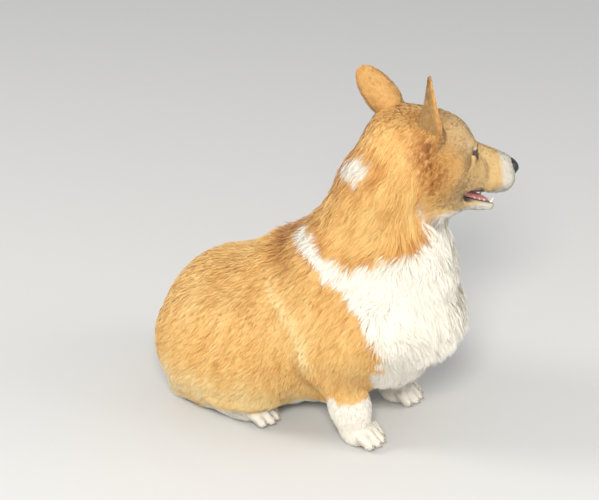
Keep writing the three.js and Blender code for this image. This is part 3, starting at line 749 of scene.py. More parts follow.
def bare_skin(p):
    """How much leather and how much pink show: leather on lips, lids and pads, pink inside the mouth."""
    h = HEAD.into(p)
    x, y, z = p.T
    in_mouth = mouth(h)
    near = (h[:, 1] < CORNER + 6) & (h[:, 1] > nose_tip - 4)
    surface = bare_head(h) + 1.7
    lower = fade(LIP - 0.5, LIP - 2, in_jaw(h)[:, 2])
    lips = bump(np.abs(in_mouth), 0, 2.2) * fade(-4 - 8 * lower, -2 - 5 * lower, surface) * near
    lining = fade(1.5, 0.5, np.abs(in_mouth)) * fade(-2, -4, surface) * near
    lids = fade(3, 1.6, lid_opening(h)) * (h[:, 1] < -20)
    pads = fade(4, 2, z) * ((y < 10) | (y > 100) & (y < 180))
    leather = np.clip(lips + lids + pads, 0, 1)
    pink = np.clip(lining - lips * 0.5, 0, 1)
    return np.column_stack((leather, pink, np.zeros(len(p)), np.ones(len(p))))


# The lie of the coat, and its length

def side_of(x):
    return np.clip(x / 20, -1, 1)


def mixed(a, b, share):
    return a + (np.asarray(b, float) - a) * share[:, None]


def on_paws(p, fore, hind):
    """1 on the feet, fading out along y between the given pairs of places."""
    x, y, z = p.T
    hind_feet = fade(90, 104, y) * fade(*hind, y)
    return fade(34, 18, z) * np.maximum(fade(*fore, y), hind_feet)


def lie(p):
    """The way the coat points, in the dog's frame, before it is laid along the skin."""
    h = HEAD.into(p)
    x, y, z = p.T
    head_y, head_z = h[:, 1], h[:, 2]
    s, head_s = side_of(x), side_of(h[:, 0])
    one = np.ones(len(p))
    leg = fade(92, 62, z) * fade(60, 46, y) * fade(20, 30, np.abs(x))
    body = np.column_stack((0.45 * s, 0.42 * one, -one))
    for way, share in (
            ((0, 1, -0.15), fade(16, 3, np.abs(x)) * fade(120, 160, z)),  # the back
            ((0, 0.85, -1), fade(150, 90, z) * fade(60, 90, y)),  # the thighs
            ((0, 0.35, -1), fade(70, 20, y) * fade(60, 110, z)),  # the shoulders
            ((0, 0.25, -1), fade(235, 265, y)),  # the seat
            (np.column_stack((-x / 120, 0.12 * one, -one)), fade(-10, -45, y)),  # the chest
            (np.column_stack((0.25 * s, 0.55 * one, -one)),
             fade(215, 250, z) * fade(-50, -30, y)),  # the neck
            ((0, 0.12, -1), leg),
            ((0, -1, -0.3), on_paws(p, (6, -4), (175, 150)))):
        body = mixed(body, way, share)
    face = np.column_stack((0.25 * head_s, one, 0.35 * one))
    for way, share in (
            (np.column_stack((0.2 * head_s, one, -0.5 * one)), fade(4, -16, head_z)),  # the cheeks
            ((0, 1, 0.1), fade(stop, stop - 14, head_y)),  # the muzzle
            (np.column_stack((0.05 * head_s, 0.5 * one, -one)), fade(-6, 26, head_y)),  # the nape
            ((0, 0.9, -0.4), fade(-44, -56, head_z))):  # the throat
        face = mixed(face, way, share)
    return mixed(body, HEAD.way_out(face), headness(h, 16))


def back_tuft(p):
    """1 where the hair stands up along the back, behind the collar."""
    x, y, z = p.T
    return bump(y, 116, 28) * bump(x, 0, 34) * fade(190, 206, z)


def coat_length(p):
    h = HEAD.into(p)
    x, y, z = p.T
    head_y, head_z = h[:, 1], h[:, 2]
    head = 6.5 - 2.8 * fade(-10, -60, head_y)
    head = head + 9 * fade(20, 55, head_y) * fade(34, 10, head_z)
    head = head + 4 * fade(-50, -78, head_z) * fade(-60, -30, head_y)
    trunk = 12.5 + 4 * fade(160, 230, y) + 4 * fade(60, 20, y)
    trunk = trunk + 8 * fade(205, 240, z) * fade(115, 90, y) + 8 * back_tuft(p)
    trunk = trunk + (14 - 6 * fade(240, 290, z)) * fade(-5, -50, y)
    trunk = trunk + 12 * bump(z, 100, 30) * fade(-25, -55, y)
    leg = fade(92, 62, z) * fade(60, 46, y) * fade(-42, -30, y)
    trunk = trunk * (1 - leg) + 7.5 * leg
    foot = on_paws(p, (40, 30), (185, 160))
    trunk = trunk * (1 - foot) + 4.5 * foot
    is_head = headness(h)
    return head * is_head + trunk * (1 - is_head)


def hair_depth(p):
    """The coat's depth, with the tuft on the back and the keel of the chest."""
    x, y, z = p.T
    keel = 6 * bump(z, 173, 18) - 7 * bump(z, 208, 16) - 6 * bump(z, 122, 18)
    return coat_depth(p) + 12 * back_tuft(p) + keel * fade(-40, -75, y)


# Strands

PATCH = 0.003  # the size of one strand's patch on the skin's unwrap


def unit(v):
    return v / np.maximum(np.linalg.norm(v, axis=-1, keepdims=True), 1e-9)


class Hide:
    """A skin that hair grows from: its points, normals, triangles and unwrap, in the dog's millimetres."""

    def __init__(self, mesh, points):
        mesh.calc_loop_triangles()
        self.points = points
        self.triangles = read(mesh.loop_triangles, "vertices", 3, np.int32)
        loops = read(mesh.loop_triangles, "loops", 3, np.int32)
        self.uvs = read(mesh.uv_layers["OFBake"].data, "uv", 2)[loops]
        self.normals = read(mesh.vertices, "normal", 3)
        corners = points[self.triangles]
        edges = corners[:, 1:] - corners[:, :1]
        self.areas = np.linalg.norm(np.cross(edges[:, 0], edges[:, 1]), axis=1) / 2
        self.middles = corners.mean(1)

    def scatter(self, density, draw):
        """Random places on the hide, as many to the square millimetre as the density of each triangle."""
        weight = np.cumsum(self.areas * density)
        count = int(weight[-1])
        chosen = np.searchsorted(weight, np.sort(draw.random(count)) * weight[-1])
        a, b = draw.random((2, count))
        over = a + b > 1
        a[over], b[over] = 1 - a[over], 1 - b[over]
        share = np.stack((1 - a - b, a, b), 1)[:, :, None]
        corners = self.triangles[chosen]
        places = (self.points[corners] * share).sum(1)
        normals = unit((self.normals[corners] * share).sum(1))
        return places, normals, (self.uvs[chosen] * share).sum(1)


def tree_of(places):
    """A tree that finds the nearest of the places."""
    tree = kdtree.KDTree(len(places))
    for n, place in enumerate(places):
        tree.insert(place, n)
    tree.balance()
    return tree


def nearest(tree, places):
    """The index of what lies nearest to each place."""
    return np.array([tree.find(place)[1] for place in places])


def comb(paths, roots, spacing, strength, draw, area):
    """Draws the strands' ends together in clumps that are about `spacing` apart."""
    count = max(2, min(len(roots) - 1, int(area / spacing ** 2)))
    chosen = draw.choice(len(roots), count, replace=False)
    leaders = chosen[nearest(tree_of(roots[chosen]), roots)]
    last = len(paths) - 1
    for k in range(1, last + 1):
        pull = strength * (k / last) ** 1.5
        paths[k] += (paths[k][leaders] - paths[k]) * pull
    return leaders


def ribbons(name, paths, sides, widths, normals, uvs, looks, chance):
    """A joined mesh of flat tapered strands, each with its patch on the unwrap."""
    stations = len(paths) - 1
    count = len(uvs)
    per = 2 * stations + 1
    points = np.empty((count, per, 3))
    bends = np.empty((count, per, 3))
    maps = np.empty((count, per, 2))
    travel = np.empty((count, per))
    for k in range(stations + 1):
        t = k / stations
        way = unit(paths[min(k + 1, stations)] - paths[max(k - 1, 0)])
        across = unit(sides - way * (sides * way).sum(1, keepdims=True))
        facing = unit(0.35 * np.cross(across, way) + 0.65 * normals)
        for n, edge in enumerate((-1, 1) if k < stations else (0,)):
            place = 2 * k + n
            points[:, place] = paths[k] + across * (edge * widths[:, k:k + 1] / 2)
            bends[:, place] = unit(facing + 0.25 * edge * across)
            maps[:, place] = uvs + PATCH * np.array([edge / 2, t - 0.5])
            travel[:, place] = t
    faces = [[2 * k, 2 * k + 1, 2 * k + 3, 2 * k + 2] for k in range(stations - 1)]
    corners = np.array(sum(faces, []) + [2 * stations - 2, 2 * stations - 1, 2 * stations])
    starts = 4 * np.arange(stations)
    first = np.arange(count)[:, None]
    loops = (first * per + corners).ravel().astype(np.int32)
    mesh = bpy.data.meshes.new(name)
    mesh.vertices.add(count * per)
    mesh.loops.add(len(loops))
    mesh.polygons.add(count * stations)
    mesh.vertices.foreach_set("co", in_scene(points.reshape(-1, 3)).ravel())
    mesh.loops.foreach_set("vertex_index", loops)
    mesh.polygons.foreach_set("loop_start", (first * len(corners) + starts).ravel().astype(np.int32))
    mesh.update(calc_edges=True)
    layer = mesh.uv_layers.new(name="OFBake")
    layer.data.foreach_set("uv", maps.reshape(-1, 2)[loops].ravel())
    write(mesh, "coat", np.repeat(looks[:, None], per, axis=1))
    write(mesh, "strand", np.stack((travel, np.repeat(chance[:, None], per, axis=1), travel * 0), -1))
    mesh.shade_smooth()
    mesh.normals_split_custom_set_from_vertices(bends.reshape(-1, 3))
    return mesh


def grow(name, hide, density, style, draw):
    """One piece of coat. `style` holds its stations, width, curl and clumps."""
    roots, normals, uvs = hide.scatter(density, draw)
    count = len(roots)
    way = style["lie"](roots)
    way = unit(way - normals * (way * normals).sum(1, keepdims=True))
    turn = draw.normal(0, style["stray"], count) + style["curl"] * ripple(roots, 34, 7)
    sideways = np.cross(normals, way)
    way = way * np.cos(turn)[:, None] + sideways * np.sin(turn)[:, None]
    sideways = np.cross(normals, way)
    length = style["length"](roots) * draw.uniform(0.7, 1.2, count)
    depth = style["depth"](roots) * draw.uniform(0.35, style["proud"], count)
    stations = style["stations"]
    paths = [roots - 0.6 * normals]
    phase = 2 * np.pi * ripple(roots, 60, 8)
    for k in range(1, stations + 1):
        t = k / stations
        height = depth * (2 * t - t * t)
        path = roots + way * (length * t)[:, None] + normals * height[:, None]
        sway = style["wave"] * length * (np.sin(phase + 4 * t) - np.sin(phase))
        path += sideways * sway[:, None]
        path += normals * np.clip(height - style["field"](path), -style["hug"], 8)[:, None]
        paths.append(path)
    area = (hide.areas * (density > 0)).sum()
    leaders = comb(paths, roots, style["clump"], style["gather"], draw, area)
    fine = comb(paths, roots, style["clump"] * 0.4, style["gather"], draw, area)
    own = draw.random(count)
    shared = draw.random(count)
    chance = 0.5 * own + 0.22 * shared[leaders] + 0.28 * shared[fine]
    roll = draw.normal(0, 0.45, count)
    sides = -sideways * np.cos(roll)[:, None] + normals * np.sin(roll)[:, None]
    profile = np.array([0.75] + [1.0] * (stations - 1) + [0.0])
    if stations > 2:
        profile[stations - 1] = 0.7
    widths = style["width"](roots)[:, None] * profile * draw.uniform(0.7, 1.3, count)[:, None]
    return ribbons(name, paths, sides, widths, normals, uvs, style["looks"](roots), chance)


def hair_width(p):
    h = HEAD.into(p)
    is_head = headness(h)
    head = 0.5 + 0.3 * fade(0, 45, h[:, 1])
    paws = fade(70, 30, p[:, 2]) * fade(190, 170, p[:, 1])
    return head * is_head + (0.84 - 0.26 * paws) * (1 - is_head)


BODY_STYLE = {"lie": lie, "length": coat_length, "depth": hair_depth, "field": height_over_skin,
              "looks": markings, "width": hair_width, "stations": 3, "stray": 0.16, "curl": 0.16,
              "wave": 0.03, "clump": 6, "gather": 0.3, "hug": 8, "proud": 1.0}


def hairiness(p):
    """1 where hair grows, 0 on bare skin."""
    h = HEAD.into(p)
    bare = bare_skin(p)
    open_skin = np.clip(1 - 2 * bare[:, 0] - 3 * bare[:, 1], 0, 1)
    inside = (mouth(h) < 2.0) & (bare_head(h) < -4) & (h[:, 1] < CORNER + 6)
    under_nose = nose_form(h) < 0.8
    eyes = eye_distance(h) < EYE_RADIUS + 0.6
    return open_skin * ~(inside | under_nose | eyes | (p[:, 2] < 1.2))


# Colour and finish

def feed(tree, socket, value):
    """Links another socket to this one, or gives this one a value."""
    if isinstance(value, bpy.types.NodeSocket):
        tree.links.new(value, socket)
    else:
        socket.default_value = value


def set_inputs(tree, made, **values):
    for name, value in values.items():
        feed(tree, made.inputs[name.replace("_", " ")], value)


def node(tree, kind, **settings):
    """A shader node with its settings and its named inputs, each a value or another socket."""
    made = tree.nodes.new(kind)
    for key, value in settings.items():
        if key in made.bl_rna.properties:
            setattr(made, key, value)
        else:
            set_inputs(tree, made, **{key: value})
    return made


def mix_colours(tree, share, a, b, blend="MIX"):
    mixer = node(tree, "ShaderNodeMix", data_type="RGBA", blend_type=blend)
    for socket, value in ((mixer.inputs["Factor"], share), (mixer.inputs[6], a), (mixer.inputs[7], b)):
        feed(tree, socket, value)
    return mixer.outputs[2]


def ramp(tree, value, stops):
    made = node(tree, "ShaderNodeValToRGB", Fac=value)
    elements = made.color_ramp.elements
    while len(elements) < len(stops):
        elements.new(1)
    for element, (place, colour) in zip(elements, stops):
        element.position = place
        element.color = (*colour, 1)
    return made.outputs["Color"]


def maths(tree, operation, a, b, clamp=False):
    made = node(tree, "ShaderNodeMath", operation=operation, use_clamp=clamp)
    for socket, value in zip(made.inputs, (a, b)):
        feed(tree, socket, value)
    return made.outputs[0]


REDS = ((0.0, (0.24, 0.062, 0.014)), (0.25, (0.56, 0.25, 0.062)), (0.5, (0.80, 0.50, 0.17)),
        (0.75, (0.87, 0.65, 0.30)), (1.0, (0.90, 0.77, 0.50)))
SABLE = (0.74, 0.57, 0.36, 1)
WHITE = (0.87, 0.845, 0.765, 1)
CREAM = (0.72, 0.64, 0.54, 1)
UMBER = (0.045, 0.022, 0.012, 1)


def coat_colour_group():
    """Turns the coat's markings, and a place along its strand, into the colour of hair, with painted shade
    darkening it towards the root.
    """
    tree = bpy.data.node_groups.new("Coat colour", "ShaderNodeTree")
    for name, kind in (("Markings", "Color"), ("Dark", "Float"), ("Along", "Float"), ("Chance", "Float")):
        tree.interface.new_socket(name, in_out="INPUT", socket_type=f"NodeSocket{kind}")
    tree.interface.new_socket("Color", in_out="OUTPUT", socket_type="NodeSocketColor")
    inputs, outputs = node(tree, "NodeGroupInput"), node(tree, "NodeGroupOutput")
    marks = node(tree, "ShaderNodeSeparateColor", Color=inputs.outputs["Markings"])
    spread = maths(tree, "MULTIPLY", maths(tree, "SUBTRACT", inputs.outputs["Chance"], 0.5), 0.34)
    shade = maths(tree, "ADD", marks.outputs["Green"], spread, clamp=True)
    red = ramp(tree, shade, REDS)
    sable = mix_colours(tree, marks.outputs["Blue"], red, SABLE)
    white = mix_colours(tree, maths(tree, "MULTIPLY", inputs.outputs["Chance"], 0.16), WHITE, CREAM)
    coat = mix_colours(tree, marks.outputs["Red"], sable, white)
    coat = mix_colours(tree, inputs.outputs["Dark"], coat, UMBER)
    # Painted shade: the hair darkens towards its root, deep in the coat
    roots = ramp(tree, inputs.outputs["Along"], ((0.0, (0.80, 0.76, 0.71)), (0.45, (0.97, 0.96, 0.95)),
                                                 (1.0, (1, 1, 1))))
    coat = mix_colours(tree, 1.0, coat, roots, "MULTIPLY")
    tree.links.new(coat, outputs.inputs["Color"])
    return tree


def attribute(tree, name):
    return node(tree, "ShaderNodeAttribute", attribute_name=name)


def coat_colour(tree, group):
    """The coat's colour from the piece's own attributes."""
    made = node(tree, "ShaderNodeGroup")
    made.node_tree = group
    coat, strand = attribute(tree, "coat"), attribute(tree, "strand")
    parts = node(tree, "ShaderNodeSeparateXYZ", Vector=strand.outputs["Vector"])
    set_inputs(tree, made, Markings=coat.outputs["Color"], Dark=coat.outputs["Alpha"],
               Along=parts.outputs["X"], Chance=parts.outputs["Y"])
    return made.outputs["Color"]


def new_material(name):
    material = bpy.data.materials.new(name)
    material.use_nodes = True
    tree = material.node_tree
    return material, tree, tree.nodes["Principled BSDF"]


def on_object(tree, kind, **settings):
    """A pattern on the object's own coordinates."""
    place = node(tree, "ShaderNodeTexCoord")
    return node(tree, kind, Vector=place.outputs["Object"], **settings)


def grain(tree, scale, detail=3.0):
    return on_object(tree, "ShaderNodeTexNoise", Scale=scale, Detail=detail).outputs["Fac"]


def mottled(tree, scale, low, high, end=0.75):
    """A colour that wanders between two over the surface."""
    return ramp(tree, grain(tree, scale), ((0.3, low), (end, high)))


def add_bump(tree, shader, height, strength, distance_m):
    made = node(tree, "ShaderNodeBump", Strength=strength, Distance=distance_m, Height=height)
    set_inputs(tree, shader, Normal=made.outputs["Normal"])


def hair_material(group):
    material, tree, shader = new_material("hair")
    set_inputs(tree, shader, Base_Color=coat_colour(tree, group), Roughness=0.62, Specular_IOR_Level=0.35,
               Sheen_Weight=0.15, Sheen_Roughness=0.4)
    return material


def skin_material(group):
    material, tree, shader = new_material("skin_and_undercoat")
    parts = node(tree, "ShaderNodeSeparateColor", Color=attribute(tree, "bare").outputs["Color"])
    leather = mottled(tree, 700, (0.012, 0.009, 0.009), (0.05, 0.036, 0.034), 0.8)
    pink = mottled(tree, 160, (0.52, 0.13, 0.12), (0.72, 0.28, 0.26), 0.8)
    colour = mix_colours(tree, parts.outputs["Green"], coat_colour(tree, group), pink)
    colour = mix_colours(tree, parts.outputs["Red"], colour, leather)
    wet = maths(tree, "MAXIMUM", parts.outputs["Red"], parts.outputs["Green"])
    rough = maths(tree, "SUBTRACT", 0.75, maths(tree, "MULTIPLY", wet, 0.42))
    set_inputs(tree, shader, Base_Color=colour, Roughness=rough)
    add_bump(tree, shader, grain(tree, 520, 4.0), 0.35, 0.0008)
    return material


def nose_material():
    material, tree, shader = new_material("nose_leather")
    pebbles = on_object(tree, "ShaderNodeTexVoronoi", Scale=620.0).outputs["Distance"]
    colour = ramp(tree, pebbles, ((0.0, (0.030, 0.026, 0.027)), (0.7, (0.010, 0.008, 0.009))))
    set_inputs(tree, shader, Base_Color=colour, Roughness=0.33)
    add_bump(tree, shader, maths(tree, "SUBTRACT", 1.0, pebbles), 0.5, 0.0006)
    return material


def eye_material():
    material, tree, shader = new_material("eye")
    gaze = attribute(tree, "gaze")
    colour = ramp(tree, gaze.outputs["Fac"], ((0.0, (0.002, 0.002, 0.002)), (0.20, (0.003, 0.002, 0.002)),
                                              (0.24, (0.060, 0.022, 0.008)), (0.40, (0.11, 0.042, 0.014)),
                                              (0.47, (0.020, 0.009, 0.005)), (0.56, (0.12, 0.075, 0.06))))
    streaks = maths(tree, "MULTIPLY", grain(tree, 900), 0.4)
    colour = mix_colours(tree, streaks, colour, (0.02, 0.01, 0.006, 1))
    set_inputs(tree, shader, Base_Color=colour, Roughness=0.35, Specular_IOR_Level=0.2, Coat_Weight=0.7,
               Coat_Roughness=0.03)
    return material


def tongue_material():
    material, tree, shader = new_material("tongue")
    colour = mottled(tree, 300, (0.55, 0.17, 0.17), (0.76, 0.34, 0.32))
    set_inputs(tree, shader, Base_Color=colour, Roughness=0.36, Subsurface_Weight=0.2,
               Subsurface_Scale=0.003)
    add_bump(tree, shader, grain(tree, 1500), 0.5, 0.0004)
    return material


def hard_material(name, low, high, roughness):
    material, tree, shader = new_material(name)
    set_inputs(tree, shader, Base_Color=mottled(tree, 260, low, high), Roughness=roughness)
    add_bump(tree, shader, grain(tree, 1400), 0.15, 0.0003)
    return material


# Pieces

def finish_piece(mesh, material, slot, *nodes):
    piece = new_piece(mesh.name, mesh)
    mesh.materials.clear()
    mesh.materials.append(material)
    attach(piece, "root")
    if nodes:
        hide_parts(*nodes)
    return piece


def colour_mesh(mesh, looks, bare):
    """Lays the markings on a skin's points, for the undercoat that shows between strands, with part of the
    strands' painted root shade.
    """
    write(mesh, "coat", looks)
    # A quarter of the way along a strand, so the undercoat takes part of the painted shade at the roots
    write(mesh, "strand", np.tile((0.25, 0.5, 0.0), (len(looks), 1)))
    write(mesh, "bare", bare)


def unwrap(piece):
    """An unwrap of the piece's own shape, in a map named OFBake."""
    piece.data.uv_layers.new(name="OFBake")
    bpy.context.view_layer.objects.active = piece
    piece.select_set(True)
    bpy.ops.object.mode_set(mode="EDIT")
    bpy.ops.mesh.select_all(action="SELECT")
    bpy.ops.uv.smart_project(angle_limit=math.radians(70), island_margin=0.002)
    bpy.ops.object.mode_set(mode="OBJECT")
    piece.select_set(False)


hair_group = coat_colour_group()
hair = hair_material(hair_group)
undercoat = skin_material(hair_group)

NOSE = [egg((0, nose_tip + 7, -10.5), (12.5, 12, 9.5)),
        *both_sides(lambda s: egg((s * 7, nose_tip + 6, -12.5), (7.5, 10.5, 8), fillet=4))]
NOSTRILS = [form for _, s in SIDES for form in (
    egg((s * 5.6, nose_tip - 4, -11.5), (2.9, 6.5, 2.9)), egg((s * 10.6, nose_tip, -14.5), (5.3, 6, 1.4)))]


def nose_form(h):
    return all_joined(NOSE, h)


def nose_leather(h):
    """The nose with its nostrils and the groove between them."""
    d = nose_form(h)
    for hollow in NOSTRILS:
        d = carved(d, distance(hollow, h), 1.5)
    groove = distance(egg((0, nose_tip - 7, -16), (0.9, 5.5, 9)), h)
    return carved(d, groove, 1.0)


def make_nose():
    bm = bmesh.new()
    bmesh.ops.create_icosphere(bm, subdivisions=6, radius=1)
    mesh = made_mesh("nose_leather", bm)
    h = points_of(mesh) * (14, 12.5, 10) + (0, nose_tip + 6.5, -11)
    h = settle(nose_form, h, rounds=4, most=3)
    h = settle(nose_leather, h, rounds=6, most=1)
    set_points(mesh, in_scene(HEAD.out(h)))
    mesh.shade_smooth()
    return finish_piece(mesh, nose_material(), "nose_leather", "nose")


def make_eye(side, s, material):
    bm = bmesh.new()
    bmesh.ops.create_uvsphere(bm, u_segments=48, v_segments=32, radius=1)
    mesh = made_mesh(f"eyeball_{side}", bm)
    ball = points_of(mesh)
    gaze = np.arccos(np.clip(ball[:, 2], -1, 1)) / (math.pi / 2)
    swell = 0.35 * fade(0.55, 0.2, gaze)
    local = ball * (EYE_RADIUS + swell)[:, None]
    write(mesh, "gaze", gaze)
    set_points(mesh, in_scene(HEAD.out(EYES[s].out(local))))
    mesh.shade_smooth()
    return finish_piece(mesh, material, "eye", f"eye_{side}")


def formed(name, forms, carry, cell, field=None):
    """A closed mesh of the forms' union, wrapped in even faces and settled on their filleted surface."""
    bm = bmesh.new()
    for form in forms:
        add_form(bm, form, same)
    mesh = remeshed(made_mesh(name + "_blank", bm), cell)
    mesh.name = name
    settled = settle(field or (lambda p: all_joined(forms, p)), points_of(mesh), rounds=3, most=1.5)
    set_points(mesh, in_scene(carry(settled)))
    mesh.shade_smooth()
    return mesh


def make_tongue():
    forms = [egg((0, -87, LIP - 1), (12.5, 38, 7)), egg((0, -72, LIP + 1), (13, 22, 7), fillet=4)]

    def field(j):
        furrow = distance(limb((0, -60, LIP + 9.5), 2.2, (0, -116, LIP + 6.0), 2.2), j)
        return carved(all_joined(forms, j), furrow, 4)

    mesh = formed("tongue_flesh", forms, jaw_out, 0.9, field)
    return finish_piece(mesh, tongue_material(), "tongue", "tongue")


def peg(root, radius, tip, tip_radius):
    """A tooth or a claw: a limb with hardly any fillet."""
    return limb(root, radius, tip, tip_radius, 0.4)


def make_teeth():
    """Canines, incisors and the first cheek teeth. The incisors stand in a bow."""
    enamel = hard_material("tooth", (0.74, 0.68, 0.55), (0.86, 0.82, 0.72), 0.28)
    upper = both_sides(lambda s: peg((s * 10.5, nose_tip + 21, LIP + 5), 2.0,
                                     (s * 11, nose_tip + 19.5, LIP - 0.5), 0.7))
    for x in (-7, -4.2, -1.4, 1.4, 4.2, 7):
        y = nose_tip + 0.12 * x * x
        upper.append(peg((x, y + 13, LIP + 5), 1.4, (x, y + 12.4, LIP + 1), 0.9))
    lower = both_sides(lambda s: peg((s * 9.5, nose_tip + 24, LIP - 6), 2.5,
                                     (s * 11, nose_tip + 22, LIP + 4.5), 0.8))
    for x in (-5.8, -3.5, -1.2, 1.2, 3.5, 5.8):
        y = nose_tip + 0.1 * x * x
        lower.append(peg((x, y + 16, LIP - 5), 1.3, (x, y + 15, LIP + 0.6), 0.8))
    for x, y in ((10.5, 34), (11.5, 42), (12.5, 51)):
        lower += both_sides(lambda s: peg((s * x, nose_tip + y, LIP - 5), 1.8,
                                          (s * x, nose_tip + y, LIP + 0.5), 0.7))
    for name, forms, carry in (("upper_teeth", upper, HEAD.out), ("lower_teeth", lower, jaw_out)):
        finish_piece(formed(name, forms, carry, 0.4), enamel, None)


def make_claws():
    horn = hard_material("claw", (0.36, 0.27, 0.21), (0.56, 0.46, 0.38), 0.35)
    forms = []
    for _, s in SIDES:
        for centre, reach in ((fore_centre(s), FORE_REACH), (hind_centre(s), HIND_REACH)):
            for place in TOE_PLACES:
                root = np.array(centre) + (10.6 * place, -1 - toe_length(reach, place), -2)
                bend = root + (0, -3.6, -0.8)
                forms.append(peg(root, 1.9, bend, 1.6))
                forms.append(peg(bend, 1.6, root + (0, -6.8, -3.6), 0.6))
    return finish_piece(formed("claws", forms, same, 0.5), horn, None)


skin_mesh = make_skin()
skin_points = points_of(skin_mesh)
skin_mesh.name = "skin"
skin_mesh.shade_smooth()
colour_mesh(skin_mesh, markings(skin_points), bare_skin(skin_points))
FLESH = ["head", "muzzle", "lower_jaw", "neck", "torso", "tail"]
FLESH += [f"{part}_{side}" for part in ("foreleg", "forepaw", "hindleg", "hindpaw") for side, _ in SIDES]
skin = finish_piece(skin_mesh, undercoat, "coat", *FLESH)
unwrap(skin)
hide = Hide(skin_mesh, skin_points)
set_points(skin_mesh, in_scene(skin_points))


# Ears

def ear_frame(root, axis, facing):
    z = unit(np.array(axis, float))
    x = unit(np.cross(-np.array(facing, float), z))
    return Frame(root, np.column_stack((x, np.cross(z, x), z)))


EARS = {"left": ear_frame((40, 25, 30), (0.165, 0.81, 0.56), (0.745, -0.636, -0.2)),
        "right": ear_frame((-35, 19.5, 24.5), (-0.04, 0.36, 0.93), (-0.486, -0.872, -0.06))}
EAR_THICKNESS = 2.4
EAR_DENSITY = 2.4  # hairs to the square millimetre
RIGHT_EAR_FRONT = 1  # the sign of v at the right ear's front edge


def ear_sheet(u, v, face):
    """Points of the ear's cup. u runs from its sunk root to its tip, v across it, and face is -1 on its inner
    side and 1 on its outer side."""
    outline = 0.02 + 0.98 * np.sqrt(np.clip(1 - u ** 2.6, 0, 1)) * (1 - 0.3 * u)
    outline = outline * (1 - 0.3 * fade(0.3, 0.05, u))
    bend = np.radians(105 - 72 * u)
    radius = EAR_ARC / 2 * outline / bend
    angle = bend * v * 0.97
    thickness = EAR_THICKNESS * (1 - 0.35 * u) * (1 - 0.7 * v ** 4)
    fold = 1.1 * bump(np.abs(v), 0.78, 0.10) * fade(0.95, 0.6, u)  # the rim curls over
    r = radius + face * thickness / 2 + fold
    spine = 0.4 * EAR_ARC / 2 / bend * (1 - 0.3 * u) * (1 - 0.7 * u ** 2)
    flare = 9 * fade(0.8, 0.15, u) ** 1.3 * (np.cos(angle) - np.cos(bend)) / (1 - np.cos(bend))
    height = u * (EAR_LENGTH + EAR_ROOT) - EAR_ROOT
    return np.column_stack((-np.sin(angle) * r, np.cos(angle) * r - radius + spine + flare, height))


def ear_markings(u, v, face, p):
    """The back of the ear is red and darker at its edge; on the right one, painted shade darkens it towards
    the front; the cup is pale.
    """
    edge = fade(0.72, 1.0, np.abs(v)) + fade(0.86, 1.0, u)
    # On the right ear, painted shade darkens the back towards its front; elsewhere the back is only a little
    # dark
    front = fade(-0.5, 0.4, v * RIGHT_EAR_FRONT) * (HEAD.into(p)[:, 0] < 0)
    tone_and_painted_shade = 0.05 + 0.45 * front * fade(0.99, 0.8, np.abs(v))
    back = np.column_stack((0 * u, 0.44 - 0.10 * edge + 0.05 * ripple(p, 9, 12), 0 * u + 0.06, tone_and_painted_shade))
    pale = 0.35 * fade(0.95, 0.6, np.abs(v))
    cup = np.column_stack((pale, 0.62 + 0 * u, 0.5 - 0.2 * edge, 0.25 - 0.2 * edge))
    return np.clip(np.where((face > 0)[:, None], back, cup), 0, 1)


def make_ear(side):
    """The ear's skin. Returns its hide, and each point's u, v and face."""
    bm = bmesh.new()
    bmesh.ops.create_grid(bm, x_segments=36, y_segments=44, size=1)
    bmesh.ops.solidify(bm, geom=bm.faces[:], thickness=0.1)
    mesh = made_mesh(f"ear_skin_{side}", bm)
    flat = points_of(mesh)
    face = np.where(flat[:, 2] > flat[:, 2].mean(), 1.0, -1.0)
    u, v = (flat[:, 1] + 1) / 2, np.clip(flat[:, 0], -1, 1)
    points = HEAD.out(EARS[side].out(ear_sheet(u, v, face)))
    set_points(mesh, points)
    with opened(mesh) as bm:
        bmesh.ops.recalc_face_normals(bm, faces=bm.faces)
    mesh.shade_smooth()
    colour_mesh(mesh, ear_markings(u, v, face, points), np.zeros((len(points), 4)))
    finish_piece(mesh, undercoat, "coat", f"ear_{side}")
    corner = read(mesh.loops, "vertex_index", 1, np.int32)[:, 0]
    maps = np.column_stack((0.25 + 0.2 * v + 0.25 * (face + 1), 0.1 + 0.8 * u))
    mesh.uv_layers.new(name="OFBake").data.foreach_set("uv", maps[corner].ravel())
    ear_hide = Hide(mesh, points)
    set_points(mesh, in_scene(points))
    return ear_hide, np.column_stack((u, v, face))


def grow_ear(side, draw):
    ear_hide, places = make_ear(side)
    tree = tree_of(ear_hide.points)

    def places_of(p):
        return places[nearest(tree, p)].T

    def ear_lie(p):
        u, v, face = places_of(p)
        ahead = np.column_stack((0.5 * v, 0 * v, 1 + 0 * v))
        return HEAD.way_out(EARS[side].way_out(ahead))

    def ear_length(p):
        u, v, face = places_of(p)
        inner = 5 + 7 * fade(0.5, 0.95, np.abs(v)) * fade(0.8, 0.3, u)
        return np.where(face > 0, 4.8, inner) * (1 - 0.5 * fade(0.8, 1, u))

    def ear_height(p):
        near = nearest(tree, p)
        return ((p - ear_hide.points[near]) * ear_hide.normals[near]).sum(1)

    style = dict(BODY_STYLE, lie=ear_lie, length=ear_length, looks=lambda p: ear_markings(*places_of(p), p),
                 depth=lambda p: np.full(len(p), 1.4), field=ear_height,
                 width=lambda p: np.full(len(p), 0.5), stations=2, stray=0.14, curl=0.0, clump=3,
                 gather=0.05)
    buried = height_over_skin(ear_hide.middles) < -1
    mesh = grow(f"ear_hair_{side}", ear_hide, np.where(buried, 0, EAR_DENSITY), style, draw)
    return finish_piece(mesh, hair, "coat")


draw = np.random.default_rng(SEED)
for side, _ in SIDES:
    grow_ear(side, draw)
make_nose()
eye_finish = eye_material()
for side, s in SIDES:
    make_eye(side, s, eye_finish)
make_tongue()
make_teeth()
make_claws()


